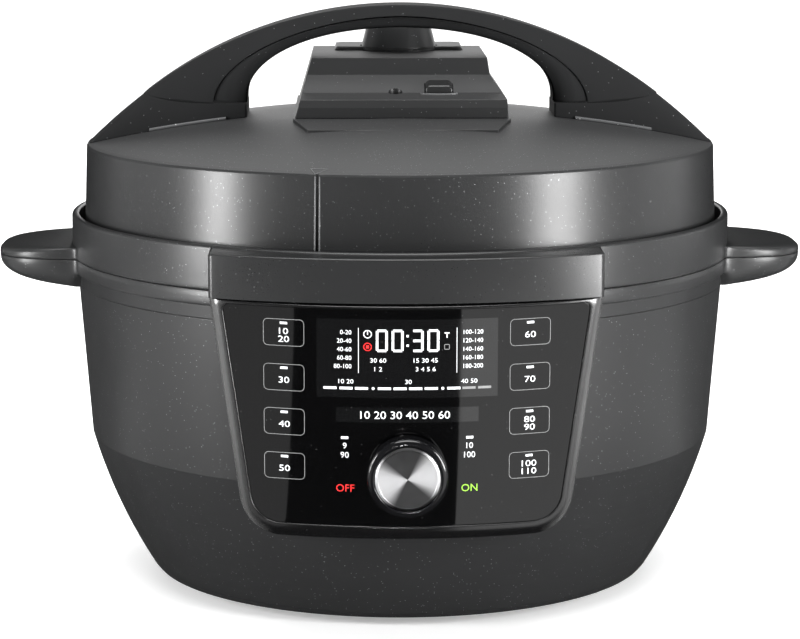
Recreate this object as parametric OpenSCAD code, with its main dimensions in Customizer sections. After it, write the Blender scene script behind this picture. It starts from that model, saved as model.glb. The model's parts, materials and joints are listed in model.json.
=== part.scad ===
// Wide electric pressure cooker: base with heater, removable cooking pot, and a bayonet lid
// with an arch handle, a steam cover and its valves. Millimetres, +Z up, front towards -Y.
// The origin is on the pot's axis, on the counter.

/* [Body] */
// Height of the body's bottom edge above the counter
foot_gap = 4; // [3:0.5:7]
// How far the body's bottom edge lies inside the pot's bore
bottom_in = 2; // [0:0.5:6]
// How far the crease between the lower and the upper wall stands outside the pot's bore
crease_out = 34.3; // [31:0.1:38]
// How far the top of the upper wall stands outside the pot's bore
wall_out = 40.3; // [39:0.1:45]
// Height of the tapering lower part
lower_h = 73.6; // [68:0.1:80]
// Height of the upper wall, from the crease to the collar
wall_h = 80.4; // [76:0.1:88]
// Bulge of the lower part between its ends
belly = 2.7; // [1:0.1:5]
// Thickness of the plastic body
shell_t = 2.5; // [2:0.1:3.2]
// Width of the lip round the opening in the bottom
bottom_lip_w = 10; // [8:0.5:14]
// Thickness of the bottom cover
cover_t = 2.5; // [2:0.1:3]
// Radius of a foot
foot_r = 10; // [7:0.5:12]
// Distance of the feet's middles from the bottom edge
foot_in = 28; // [24:0.5:36]

/* [Collar] */
// How far the collar stands out from the upper wall
collar_step = 3; // [2.4:0.1:4]
// Height of the lower collar
lower_collar_h = 13.9; // [11:0.1:16]
// Height of the upper collar, from the seam to the rim
upper_collar_h = 23.6; // [22:0.1:27]
// Thickness of the rim around the lid
rim_t = 3.95; // [3.6:0.05:4.4]
// Depth of the channel floor under the rim
channel_drop = 20.5; // [19:0.1:22]
// Thickness of the channel floor
channel_t = 3; // [2.5:0.1:3.4]
// How far a side handle reaches beyond the collar
grip_reach = 38.3; // [30:0.1:42]
// Width of a side handle, front to back
grip_w = 84; // [70:1:92]
// Height of a side handle above the seam
grip_up = 6; // [5:0.1:9]
// Depth of a side handle below the seam, at its root
grip_down = 14.6; // [11:0.1:17]

/* [Front panel] */
// How far the panel's front stands out from the collar
panel_out = 13.7; // [11:0.1:18]
// Plan radius of the band, the frame and the glass
panel_r = 235; // [215:1:280]
// Half the width of the band and of the frame's top
panel_half_w = 94; // [90:0.5:98]
// Height of the band
band_h = 23; // [20:0.5:25]
// Height of the frame
frame_h = 115.5; // [110:0.5:120]
// How much narrower each side of the frame is at its bottom
frame_taper = 16.3; // [12:0.1:20]
// Corner radius at the bottom of the frame
frame_corner_r = 20; // [14:0.5:24]
// Width of the bezel at the sides
bezel_w = 6; // [4:0.5:8]
// Width of the bezel at the bottom
bezel_low_w = 7.5; // [5:0.5:9]
// Backward lean of the frame towards its bottom, in degrees
panel_tilt = 3; // [0:0.25:4]
// Thickness of the glass
glass_t = 2; // [1.6:0.1:2.6]
// Depth of the glass below the bezel's front
glass_sink = 0.8; // [0.4:0.1:1.4]
// Width of the display window
display_w = 86; // [76:1:90]
// Height of the display window
display_h = 38.6; // [34:0.2:40]
// Width of the message strip
message_w = 68; // [58:1:74]
// Height of the message strip
message_h = 7.4; // [6:0.2:8]
// Pitch of the rows of touch keys
key_pitch = 22; // [20:0.5:23]
// Distance of the key columns from the middle
key_x = 58.2; // [56:0.2:62]
// Length of a light bar
light_w = 3.4; // [2.6:0.1:5]

/* [Dial] */
// Distance of the dial's axis below the top of the frame
dial_drop = 81.7; // [76:0.1:88]
// Radius of the dial's ring
dial_r = 19.2; // [17:0.1:21]
// Radius of the dial's metal cap
dial_cap_r = 15.5; // [12:0.1:16]
// How far the dial stands out from the panel
dial_h = 11.5; // [9:0.1:14]
// Radius of the dial's shaft
dial_shaft_r = 3; // [2.5:0.1:3.5]
// Travel of the dial when it is pushed
dial_push = 1; // [0.6:0.1:1.4]

/* [Pot and heater] */
// Inner radius of the cooking pot
pot_r = 130; // [124:0.5:131]
// Inner depth of the cooking pot
pot_depth = 135; // [128:0.5:137]
// Wall thickness of the cooking pot
pot_t = 1; // [0.8:0.1:1.4]
// Thickness of the pot's floor
pot_floor_t = 3; // [2:0.1:4]
// Width of the pot's lip beyond its wall
lip_w = 9; // [8:0.1:9.6]
// Distance of the pot's lip below the rim
lip_drop = 4; // [3:0.1:5]
// Radial room between the pot and its liner
liner_room = 3; // [2.6:0.1:3.4]
// Thickness of the liner's sheet
liner_t = 1; // [0.8:0.1:1.3]
// How far the heating plate's edge lies inside the pot's bore
plate_in = 25; // [18:0.5:34]
// Thickness of the heating plate
plate_t = 8; // [7:0.1:9]
// How far the heating element's ring lies inside the plate's edge
element_in = 25; // [17:0.5:35]
// Thickness of the heating element
element_d = 8; // [6.5:0.1:9]
// Radius of the temperature sensor's can
sensor_r = 14; // [12:0.1:16]
// Travel of the temperature sensor
sensor_travel = 1.5; // [1:0.1:2]

/* [Lid] */
// Gap between the lid and the rim
lid_gap = 2.9; // [2.5:0.05:3.4]
// How much the lid's skirt widens downwards
lid_draft = 1.45; // [0.8:0.05:2]
// Height of the lid's skirt above the rim
lid_up = 34.2; // [30:0.1:38]
// Depth of the lid's skirt below the rim
lid_down = 8.5; // [7:0.1:10]
// Rise of the lid's dome above its edge
dome_h = 18.3; // [16:0.1:22]
// Thickness of the lid's shell
lid_t = 2.5; // [2:0.1:3]
// Angle of the lid's position mark, to the left of the front
mark_a = 14.8; // [0:0.1:30]
// Number of bayonet lugs
lug_n = 8; // [6:1:9]
// Share of a lug's pitch that the lug fills
lug_share = 0.45; // [0.36:0.01:0.46]
// Reach of the bayonet lugs
lug_reach = 8; // [6.5:0.1:9]
// Thickness of the bayonet lugs
lug_t = 3; // [2.5:0.1:3.4]
// Thickness of the lid's steel plate
steel_t = 2; // [1.6:0.1:2.4]
// Rise of the steel plate's raised middle
steel_rise = 9.7; // [8:0.1:12]
// How far the edge of the steel plate's raised middle lies inside the pot's bore
steel_mid_in = 35; // [25:0.5:42]

/* [Arch handle] */
// Radius of the arch's outer curve
arch_r = 220; // [212:0.5:232]
// Height of the arch's top above the lid's edge
arch_h = 72; // [69:0.1:77]
// Depth of the arch, front to back
arch_d = 40; // [34:0.5:40]
// Half the width of the hand opening
hand_half_w = 80.3; // [76:0.1:84]
// Thickness of the arch at its top
arch_t = 12.3; // [10.5:0.1:14]
// Thickness of the grip piece at its top
grip_t = 6; // [4.5:0.1:7]
// Width of the grip piece at its foot
grip_foot_w = 17.2; // [13:0.1:20]
// Height of the handle's feet above the lid's edge
feet_h = 20.6; // [18:0.1:24]

/* [Steam cover] */
// Half the width of the steam cover at its base
steam_half_w = 55; // [50:0.5:58]
// Half the width of the steam cover at its top
steam_top_half_w = 43.5; // [40:0.5:47]
// Front of the steam cover, measured from the axis
steam_front = 54; // [53:0.5:58]
// Back of the steam cover, measured from the axis
steam_back = 81; // [78:0.5:84]
// Height of the steam cover above the dome's top
steam_h = 26.3; // [25:0.1:28]
// Depth of the shelf at the front of the steam cover
shelf_d = 20; // [18:0.5:22]
// Height of the shelf above the dome's top
shelf_h = 7.4; // [6.8:0.1:8.4]
// Depth of the slope behind the shelf
slope_d = 14; // [12:0.5:16]
// Height of the slope's top above the dome's top
slope_h = 17.4; // [15:0.1:19]
// Wall of the steam cover
steam_t = 2.2; // [1.8:0.1:2.6]
// Radius at which the flat pad under the steam cover leaves the dome
pad_flat_r = 56.2; // [54:0.1:60]
// Front of the flat pad, measured from the axis
pad_front = 85; // [82:0.5:88]

/* [Valves] */
// Distance of the vent behind the axis
vent_y = 42; // [41:0.5:46]
// Base radius of the vent cap
vent_cap_r = 20.6; // [18:0.1:21]
// Top radius of the vent cap
vent_cap_top_r = 17.5; // [15:0.1:18]
// Height of the vent cap
vent_cap_h = 13.5; // [12:0.1:14.5]
// Radius of the vent pipe
vent_pipe_r = 5; // [4:0.1:5.6]
// Distance of the release button from the middle
button_x = 19.5; // [17:0.5:22]
// Distance of the release button before the axis
button_y = 32; // [31:0.5:34]
// Width of the release button
button_w = 14; // [12:0.5:16]
// Depth of the release button, front to back
button_d = 10; // [8:0.5:11]
// Travel of the release button
button_travel = 3; // [2:0.1:3.4]
// Place of the float valve across the lid
float_x = -3; // [-8:0.5:0]
// Radius of the float valve's pin
float_r = 3.2; // [2.6:0.1:3.6]
// Travel of the float valve
float_travel = 5; // [3.5:0.1:6]

/* [Rear fittings] */
// Width of the condensation cup
cup_w = 62; // [54:1:70]
// Height of the condensation cup
cup_h = 38; // [32:1:42]
// How far the cup stands out from the upper wall
cup_out = 24.81; // [22:0.01:28]
// Wall of the condensation cup
cup_t = 1.6; // [1.2:0.1:2.2]
// Height of the power inlet's middle above the body's bottom edge
inlet_up = 18; // [17:0.5:18.5]
// Width of the power inlet's socket
inlet_w = 24; // [22:0.5:26]
// Height of the power inlet's socket
inlet_h = 17; // [15:0.5:19]

/* [Hidden] */
$fn = 96;

// Clearances
gap = 0.3;            // between pieces of one body
run_gap = 0.08;       // between a shaft or screw and its hole
slide_gap = 0.4;      // around a piece that slides
seat_gap = 0.2;       // under a piece that rests on another
eps = 0.01;

// Heights
z_bottom = foot_gap;
z_crease = z_bottom + lower_h;
z_collar = z_crease + wall_h;
z_seam = z_collar + lower_collar_h;
z_rim = z_seam + upper_collar_h;
z_lid = z_rim + lid_up;
z_dome = z_lid + dome_h;
z_channel = z_rim - channel_drop;
z_skirt = z_rim - lid_down;

// Collar and body
bottom_r = pot_r - bottom_in;
crease_r = pot_r + crease_out;
wall_r = pot_r + wall_out;
bottom_hole_r = bottom_r - bottom_lip_w;
foot_place_r = bottom_r - foot_in;
collar_r = wall_r + collar_step;
rim_in_r = collar_r - rim_t;
neck_r = rim_in_r - gap;
z_neck = z_channel - channel_t - gap;
corner_w = 5.7;       // rounded bottom edge of the body
corner_h = 3.7;

// Pot, liner and bayonet
z_lip = z_rim - lip_drop;
lip_t = 2;
pot_out_r = pot_r + pot_t;
z_pot = z_lip - pot_depth - pot_floor_t;
liner_in_r = pot_out_r + liner_room;
liner_out_r = liner_in_r + liner_t;
bay_in_r = liner_out_r + gap;
bay_t = 3.6;
tab_in_r = bay_in_r + bay_t;
tab_out_r = tab_in_r + lug_reach + slide_gap;
z_tab = z_lip - lip_t - 1.2;
bay_flange_w = 14;
bay_flange_t = 2;
steel_in_r = tab_out_r + 1.6;
steel_out_r = steel_in_r + steel_t;
z_lug = z_tab - lug_t - slide_gap;
lug_pitch = 360 / lug_n;
lug_arc = lug_pitch * lug_share;

// Heater
plate_r = pot_r - plate_in;
element_r = plate_r - element_in;
steel_mid_r = pot_r - steel_mid_in;
z_plate = z_pot - seat_gap;
z_plate_low = z_plate - plate_t;
z_floor = z_plate_low - element_d - 3;
sensor_flange_t = 1.4;
sensor_flange_r = sensor_r + 4;
z_sensor_low = z_plate_low - sensor_travel - 2.5;

// Lid
lid_low_r = rim_in_r - lid_gap;
lid_r = lid_low_r - lid_draft;
dome_r = (lid_r * lid_r + dome_h * dome_h) / (2 * dome_h);
ring_h = 10.2;
z_ring = z_lip + seat_gap;
z_steel = z_ring + ring_h + gap;
z_steel_mid = z_steel + steel_rise;
z_steel_top = z_steel_mid + steel_t;
z_edge_step = 1.2;

// Panel
panel_front = collar_r + panel_out;
z_panel = z_rim - 1 - band_h;
panel_cy = panel_r - panel_front;
key_top = 14.2;
light_h = 1.3;
display_z = -26.1;
message_z = -53.6;
module_t = 3;
board_y = 13;
frame_t = 3;
bezel_top_w = 2.5;
board_t = 1.6;
small_screw_r = 1.5;
board_w = 128;
board_top = -8;
board_low = -100;
board_x = board_w / 2 - 5;
board_rows = [board_top - 6, board_low + 6];

// Arch
z_arch = z_lid + arch_h;
z_arch_c = z_arch - arch_r;
z_feet = z_lid + feet_h;
hand_n = 2.1;
part_n = 1.85;

// Steam cover
z_steam = z_dome + steam_h;
z_pad = dome_z(pad_flat_r);
pad_deep = 9;
window_x = 40;
window_y0 = -48;
window_y1 = 66;

// Lever between the release button and the vent valve
lever_t = 2.4;
lever_z = z_dome - 3.2;
pivot_y = (vent_y - button_y) / 2;
lever_w = 6;

// Rear fittings
cup_back = wall_r + cup_out;
cup_y = wall_r - 50;
hook_y = wall_r - 10;
z_cup = z_collar - 6;
z_inlet = z_bottom + inlet_up;

// ---- Curves ------------------------------------------------------------------------------

// Points of an arc from a0 to a1 degrees about [cx, cy]
function arc(cx, cy, r, a0, a1, n) =
    [for (i = [0:n]) let (a = a0 + (a1 - a0) * i / n) [cx + r * cos(a), cy + r * sin(a)]];

// Points between p and q on a parabola that stands out by s at its middle
function bulge(p, q, s, n) =
    let (d = q - p, u = [d[1], -d[0]] / norm(d))
    [for (i = [0:n]) let (t = i / n) p + d * t + u * (4 * s * t * (1 - t))];

// Quarter of a superellipse, from [a, 0] to [0, b]
function quarter(a, b, e, n) =
    [for (i = [0:n]) let (t = 90 * i / n) [a * pow(cos(t), 2 / e), b * pow(sin(t), 2 / e)]];

// Points mirrored across the second axis, in reverse order
function mirrored(pts) = [for (i = [len(pts) - 1:-1:0]) [-pts[i][0], pts[i][1]]];

function lifted(pts, z) = [for (p = pts) [p[0], p[1] + z]];

function reversed(pts) = [for (i = [len(pts) - 1:-1:0]) pts[i]];

// Height of the dome's outside, and of its inside, at radius r
function dome_z(r) = z_dome - dome_r + sqrt(dome_r * dome_r - r * r);

// Outline of the body, from the bottom edge to the top of the neck, grown by g
function body_side(g) = concat(
    [[bottom_r + g, z_bottom - min(g, 0)], [bottom_r + corner_w * 0.6 + g, z_bottom + 1 - g * 0.5]],
    bulge([bottom_r + corner_w + g, z_bottom + corner_h - g * 0.5], [crease_r + g, z_crease], belly, 10),
    [[wall_r + g, z_collar - gap - 0.6], [neck_r + g, z_collar - gap], [neck_r + g, z_neck + max(g, 0)]]
);

// ---- Small shapes -------------------------------------------------------------------------

module ring(r_out, r_in, z0, z1) {
    translate([0, 0, z0]) difference() {
        cylinder(r = r_out, h = z1 - z0);
        translate([0, 0, -1]) cylinder(r = r_in, h = z1 - z0 + 2);
    }
}

module around(n, r, a0 = 0) {
    for (i = [0:n - 1]) rotate([0, 0, a0 + 360 * i / n]) translate([r, 0, 0]) children();
}

// Sector of a ring, centred on the +X direction
module ring_sector(r_out, r_in, z0, z1, angle) {
    rotate([0, 0, -angle / 2]) translate([0, 0, z0]) rotate_extrude(angle = angle)
        translate([r_in, 0]) square([r_out - r_in, z1 - z0]);
}

// Screw with its head's underside at the origin and its shank along +Z
module screw(shank_r, shank_l, head_r, head_h) {
    difference() {
        union() {
            translate([0, 0, -head_h]) cylinder(r = head_r, h = head_h, $fn = 32);
            translate([0, 0, -eps]) cylinder(r = shank_r, h = shank_l, $fn = 32);
        }
        for (a = [0, 90]) rotate([0, 0, a])
            translate([-head_r * 0.6, -0.4, -head_h - 1]) cube([head_r * 1.2, 0.8, 1 + head_h * 0.5]);
    }
}

// Coil spring standing on the origin
module coil(r, wire, h, turns) {
    sides = 8;
    steps = round(turns * 20);
    function turn(i) = 360 * turns * i / steps;
    function pitch_z(i) = wire / 2 + (h - wire) * i / steps;
    pts = [for (i = [0:steps]) for (j = [0:sides - 1])
        let (a = turn(i), b = 360 * j / sides, q = r + wire / 2 * cos(b))
        [q * cos(a), q * sin(a), pitch_z(i) + wire / 2 * sin(b)]];
    walls = [for (i = [0:steps - 1]) for (j = [0:sides - 1])
        let (k = (j + 1) % sides)
        [i * sides + j, (i + 1) * sides + j, (i + 1) * sides + k, i * sides + k]];
    ends = [[for (j = [0:sides - 1]) j], [for (j = [sides - 1:-1:0]) steps * sides + j]];
    polyhedron(points = pts, faces = concat(walls, ends), convexity = 8);
}

module body_envelope(g) {
    rotate_extrude() polygon(concat([[0, z_bottom - min(g, 0)]], body_side(g),
        [[0, z_neck + max(g, 0)]]));
}

// ---- Panel frame of reference -------------------------------------------------------------

// The panel leans about its top front edge: x is across, y is depth, z is up
module on_panel() {
    translate([0, -panel_front, z_panel]) rotate([panel_tilt, 0, 0]) children();
}

// Solid between two depths behind the panel's curved front
module panel_slab(d0, d1, z0, z1) {
    translate([0, panel_r, z0]) difference() {
        cylinder(r = panel_r - d0, h = z1 - z0, $fn = 180);
        translate([0, 0, -1]) cylinder(r = panel_r - d1, h = z1 - z0 + 2, $fn = 180);
    }
}

// Half width of the frame at height z, narrowed by inset
function frame_x(z, inset) = panel_half_w + frame_taper * z / frame_h - inset;

// Outline of the frame, inset at the sides, the bottom and the top
function frame_outline(inset, low, top) =
    let (zb = -frame_h + low, r = max(frame_corner_r - inset, 4), lean = atan(frame_taper / frame_h),
         cx = frame_x(zb, inset) - r * tan(45 - lean / 2) , cz = zb + r,
         right = concat([[frame_x(-top, inset), -top]], arc(cx, cz, r, -lean, -90, 8)))
    concat(right, mirrored(right));

module frame_prism(inset, low, top, y0, y1) {
    translate([0, y1, 0]) rotate([90, 0, 0]) linear_extrude(height = y1 - y0)
        polygon(frame_outline(inset, low, top));
}

// ---- Base ---------------------------------------------------------------------------------

housing_post_r = 5;
post_place_r = bottom_hole_r - housing_post_r;
post_h = 16;
base_screw_r = 1.6;
base_screw_l = 16;
base_head_r = 3.3;
foot_peg_r = 4;
base_head_sink = 2.2;

module base_housing() {
    color("#3a3b3c") {
        difference() {
            rotate_extrude() polygon(concat(
                [[bottom_hole_r, z_bottom]], body_side(0),
                reversed(concat([[bottom_hole_r, z_bottom + shell_t],
                    [bottom_r - shell_t, z_bottom + shell_t]],
                    bulge([bottom_r + corner_w - shell_t, z_bottom + corner_h + shell_t],
                          [crease_r - shell_t, z_crease], belly, 10),
                    [[neck_r - shell_t, z_collar - 4], [neck_r - shell_t, z_neck]]))));
            on_panel() frame_prism(bezel_w + 3, bezel_low_w + 3, 4, 1, 80);
            inlet_cut();
            inlet_screw_holes();
            cup_cut();
        }
        intersection() {
            body_envelope(-shell_t + eps);
            around(4, post_place_r, 45) translate([0, 0, z_bottom + shell_t + cover_t + gap])
                difference() {
                union() {
                    cylinder(r = housing_post_r, h = post_h);
                    translate([0, -1.5, 0]) cube([40, 3, post_h]);
                }
                translate([0, 0, -1]) cylinder(r = base_screw_r + run_gap, h = post_h - 2, $fn = 32);
            }
        }
    }
}

module bottom_cover() {
    z_flange = z_bottom + shell_t + gap;
    color("#2c2d2e") difference() {
        union() {
            translate([0, 0, z_bottom]) cylinder(r = bottom_hole_r - slide_gap, h = shell_t + gap + eps);
            ring(bottom_hole_r + 5, bottom_hole_r - 10, z_flange - eps, z_flange + cover_t - gap);
            for (x = [-board_side / 2, board_side / 2], y = [-board_side / 2, board_side / 2])
                translate([power_x + x, power_y + y, z_bottom + shell_t])
                    cylinder(r = 3.5, h = standoff_h, $fn = 32);
        }
        for (i = [-6:6]) if (abs(i) > 1) rotate([0, 0, i * 8])
            for (s = [0, 180]) rotate([0, 0, s]) translate([60, -1.6, z_bottom - 1]) cube([28, 3.2, 9]);
        around(4, foot_place_r, 0) translate([0, 0, z_bottom - 1])
            cylinder(r = foot_peg_r + gap, h = 6, $fn = 32);
        around(4, post_place_r, 45) translate([0, 0, z_bottom - 1]) {
            cylinder(r = base_screw_r + run_gap, h = 12, $fn = 32);
            cylinder(r = base_head_r + gap, h = 1 + base_head_sink, $fn = 32);
        }
        ring(bottom_hole_r + 12, bottom_hole_r - slide_gap, z_bottom - 1, z_flange);
    }
}

module feet() {
    color("#1c1c1c") around(4, foot_place_r, 0) {
        rotate_extrude() polygon([[0, 0], [foot_r - 1.5, 0], [foot_r - 0.6, 1], [foot_r, foot_gap],
            [0, foot_gap]]);
        translate([0, 0, foot_gap - eps]) cylinder(r = foot_peg_r, h = shell_t, $fn = 32);
    }
}

module base_screws() {
    color("#8d8f92") around(4, post_place_r, 45)
        translate([0, 0, z_bottom + base_head_sink]) screw(base_screw_r, base_screw_l, base_head_r, 1.8);
}

// Side handle outline, seen from above
module grip_plan(inset) {
    root = collar_r - 22;
    edge = lifted(quarter(grip_w / 2 - inset, collar_r + grip_reach - root - inset, 2.5, 18), 0);
    rotate(-90) translate([0, root]) polygon(concat(edge, mirrored(edge)));
}

module grips_upper() {
    for (s = [0, 180]) rotate([0, 0, s]) {
        translate([0, 0, z_seam + gap / 2]) linear_extrude(height = grip_up * 0.62) grip_plan(0);
        translate([0, 0, z_seam + gap / 2]) linear_extrude(height = grip_up) grip_plan(2.5);
    }
}

module grips_lower() {
    bowl_r = grip_reach + 22;
    for (s = [0, 180]) rotate([0, 0, s]) intersection() {
        translate([0, 0, z_seam - grip_down]) linear_extrude(height = grip_down - gap / 2) grip_plan(0);
        translate([collar_r - 22, 0, z_seam]) rotate_extrude() polygon(concat([[0, 0], [bowl_r + 1, 0]],
            bulge([bowl_r + 1, -3], [20, -grip_down], -5.5, 10), [[0, -grip_down]]));
    }
}

// Room in front of the collar for the band and the top of the frame
module collar_body(z0, z1, r_top, r_low) {
    rotate_extrude() polygon([[0, z0], [r_low, z0], [r_top, z1], [0, z1]]);
}

// Room for the electronics behind the panel
module panel_room() {
    translate([-board_w / 2 - 4, -panel_front, z_collar - 1])
        cube([board_w + 8, panel_front - 100, lower_collar_h + 2]);
}

module lower_collar() {
    z1 = z_seam - gap / 2;
    color("#404142") difference() {
        union() {
            collar_body(z_collar, z1, collar_r - 0.35, collar_r - 0.6);
            grips_lower();
        }
        translate([0, 0, z_collar - 30]) cylinder(r = neck_r + gap, h = 60);
        translate([0, 0, z_collar - 40]) cylinder(r = collar_r - 1.4, h = 40);
        around(6, collar_screw_r) translate([0, 0, z_collar - 1])
            cylinder(r = collar_screw_shank_r + run_gap, h = 60, $fn = 24);
        panel_room();
    }
}

collar_screw_shank_r = 1.1;
collar_screw_r = (neck_r + gap + collar_r - 0.6) / 2;

module upper_collar() {
    z0 = z_seam + gap / 2;
    color("#454647") difference() {
        union() {
            rotate_extrude() polygon(concat(
                [[rim_in_r, z0], [collar_r - 0.3, z0]],
                arc(collar_r - 2, z_rim - 2, 2, 0, 90, 5), arc(rim_in_r + 1, z_rim - 1, 1, 90, 180, 3)));
            difference() {
                grips_upper();
                translate([0, 0, z0 - 1]) cylinder(r = collar_r - 2, h = 60);
            }
            ring(rim_in_r + eps, bay_in_r + bay_flange_w - 6, z_channel - channel_t, z_channel);
        }
        around(8, flange_screw_r, 0) translate([0, 0, z_channel - 10])
            cylinder(r = flange_shank_r + run_gap, h = 20, $fn = 24);
        around(6, collar_screw_r) translate([0, 0, z_seam - 2])
            cylinder(r = collar_screw_shank_r + run_gap, h = 10, $fn = 24);
    }
}

module collar_screws() {
    color("#9a9c9f") around(6, collar_screw_r) translate([0, 0, z_collar]) {
        cylinder(r = collar_screw_shank_r, h = lower_collar_h + 7, $fn = 24);
    }
}

module front_band() {
    z0 = z_panel + gap;
    z1 = z_rim - 1;
    module block(d, w) {
        intersection() {
            translate([0, panel_cy, z0 - 1]) cylinder(r = panel_r - d, h = z1 - z0 + 2, $fn = 180);
            translate([-w, -panel_front - 1, z0]) cube([2 * w, 100, z1 - z0]);
        }
    }
    color("#3c3d3e") difference() {
        block(0, panel_half_w);
        translate([0, 0, z0 - 1]) cylinder(r = collar_r + gap, h = band_h + 2);
        intersection() {
            block(3, panel_half_w - 3);
            translate([0, 0, z0 + 3]) cylinder(r = 400, h = band_h - 3 - gap - 3);
        }
    }
}

// Beam that carries one corner of the board, behind the glass
module board_beam(s, z) {
    translate([s * (board_x + 4) - 9, board_y + board_t, z - 4]) cube([18, 13, 8]);
    translate([s * (board_x + 30) - 25, board_y + board_t + 7.4, z - 4]) cube([50, 5.6, 8]);
}

module panel_frame() {
    color("#161718") difference() {
        on_panel() intersection() {
            frame_prism(0, 0, 0, -1, 90);
            panel_slab(0, 60, -frame_h - 1, 1);
        }
        on_panel() difference() {
            union() {
                frame_prism(bezel_w, bezel_low_w, bezel_top_w, -5, 120);
                intersection() {
                    frame_prism(bezel_w - frame_t, bezel_low_w - frame_t, bezel_top_w, -5, 120);
                    panel_slab(glass_sink + glass_t + gap, 130, -frame_h, 1);
                }
            }
            for (s = [-1, 1], z = board_rows) board_beam(s, z);
        }
        body_envelope(gap);
        translate([0, 0, z_collar - gap]) cylinder(r = collar_r + gap, h = 40);
        translate([-collar_r, -panel_front - 10, z_panel]) cube([2 * collar_r, 120, 20]);
        board_holes();
    }
}

module panel_glass() {
    d = glass_sink;
    color("#0b0b0c") on_panel() difference() {
        intersection() {
            frame_prism(bezel_w + gap, bezel_low_w + gap, bezel_top_w + gap, -1, 60);
            panel_slab(d, d + glass_t, -frame_h, 1);
        }
        translate([0, 10, -dial_drop]) rotate([90, 0, 0])
            cylinder(r = dial_shaft_r + 0.5, h = 20, $fn = 48);
    }
}

// Flat-sided block that follows the panel's curve behind the glass
module behind_glass(w, h, z, d0, d1) {
    intersection() {
        translate([-w / 2, -1, z - h / 2]) cube([w, 60, h]);
        panel_slab(d0, d1, z - h / 2 - 1, z + h / 2 + 1);
    }
}

d_glass = glass_sink + glass_t;

module display_module() {
    color("#3a4046") on_panel()
        behind_glass(display_w, display_h, display_z, d_glass + gap, d_glass + gap + module_t);
}

module message_display() {
    color("#30343a") on_panel()
        behind_glass(message_w, message_h, message_z, d_glass + gap, d_glass + gap + module_t);
}

// Light guides: one for each touch key and two beside the dial
module key_lights() {
    module guide(x, z) {
        y = panel_r - sqrt(panel_r * panel_r - x * x);
        translate([x - light_w / 2, y + d_glass + 2 * gap, z - light_h / 2])
            cube([light_w, board_y - y - d_glass - 3 * gap, light_h]);
    }
    color("#f2f2ee") on_panel() {
        for (s = [-1, 1], i = [0:3]) guide(s * key_x, -key_top - key_pitch * i + 4.6);
        for (s = [-1, 1]) guide(s * 29.7, -65.3);
    }
}

// Holes for the screws that hold the board to the frame
module board_holes() {
    on_panel() for (x = [-1, 1], z = board_rows) translate([x * board_x, board_y - 1, z])
        rotate([-90, 0, 0]) cylinder(r = small_screw_r + run_gap, h = 20, $fn = 24);
}

module control_board() {
    color("#1f5a35") difference() {
        on_panel() {
            translate([-board_w / 2, board_y, board_low])
                cube([board_w, board_t, board_top - board_low]);
            translate([-12, board_y + board_t - eps, -50]) cube([24, 3, 16]);
            translate([-20, board_y + board_t - eps, -96]) cube([18, 6, 8]);
        }
        board_holes();
    }
}

module board_screws() {
    color("#8d8f92") on_panel() for (x = [-1, 1], z = board_rows)
        translate([x * board_x, board_y, z]) rotate([-90, 0, 0]) screw(small_screw_r, 6, 2.6, 1.2);
}

// ---- Dial: turns about the panel's normal and is pushed in --------------------------------

module on_dial() {
    on_panel() translate([0, 0, -dial_drop]) rotate([90, 0, 0]) children();
}

module dial_encoder() {
    color("#6f7478") on_dial() difference() {
        translate([-6.5, -6.5, -board_y + eps]) cube([13, 13, board_y - d_glass - 1.5]);
        translate([0, 0, -board_y - 1]) cylinder(r = dial_shaft_r + 1.6 + slide_gap, h = 30, $fn = 48);
    }
}

module dial_plunger() {
    color("#c8c2a8") on_dial() difference() {
        translate([0, 0, -board_y + dial_push + gap])
            cylinder(r = dial_shaft_r + 1.6, h = 6.5, $fn = 48);
        translate([0, 0, -board_y - 1]) cylinder(r = dial_shaft_r + run_gap, h = 30, $fn = 48);
    }
}

module dial_shaft() {
    color("#a9acaf") on_dial() translate([0, 0, -board_y + dial_push + 0.6])
        cylinder(r = dial_shaft_r, h = board_y - dial_push - 0.6 + dial_h - 4, $fn = 48);
}

module dial_ring() {
    back = dial_push + 0.1;
    color("#0e0e0f") on_dial() difference() {
        rotate_extrude() polygon(concat([[0, back], [dial_r - 0.8, back], [dial_r, back + 0.8]],
            arc(dial_r - 2, dial_h - 1.6, 1.6, 0, 90, 5), [[0, dial_h]]));
        translate([0, 0, dial_h - 2.6]) cylinder(r = dial_cap_r + gap, h = 4);
        translate([0, 0, back - 1])
            cylinder(r = dial_shaft_r + 0.03, h = dial_h - 4 - back + 1.05, $fn = 48);
    }
}

module dial_cap() {
    color("#c9ccd0") on_dial() rotate_extrude() polygon([[0, dial_h - 2.6], [dial_cap_r, dial_h - 2.6],
        [dial_cap_r, dial_h - 0.3], [dial_cap_r - 0.5, dial_h], [0, dial_h]]);
}

// ---- Liner, bayonet ring and heater -------------------------------------------------------

module liner() {
    color("#a7abae") difference() {
        rotate_extrude() polygon([
            [8, z_floor - liner_t], [liner_out_r - 4, z_floor - liner_t], [liner_out_r, z_floor + 4],
            [liner_out_r, z_channel], [bay_in_r + bay_flange_w - 2, z_channel],
            [bay_in_r + bay_flange_w - 2, z_channel + liner_t], [liner_in_r, z_channel + liner_t],
            [liner_in_r, z_floor + 4.4], [liner_in_r - 4, z_floor], [8, z_floor]
        ]);
        around(8, flange_screw_r, 0) translate([0, 0, z_channel - 1])
            cylinder(r = flange_shank_r + run_gap, h = 4, $fn = 24);
        for (a = [-20, 20]) rotate([0, 0, a]) translate([0, -element_r, z_floor - 3])
            cylinder(r = 5, h = 6, $fn = 32);
    }
}

flange_shank_r = 1.4;
flange_screw_r = bay_in_r + bay_flange_w - 4;

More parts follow.
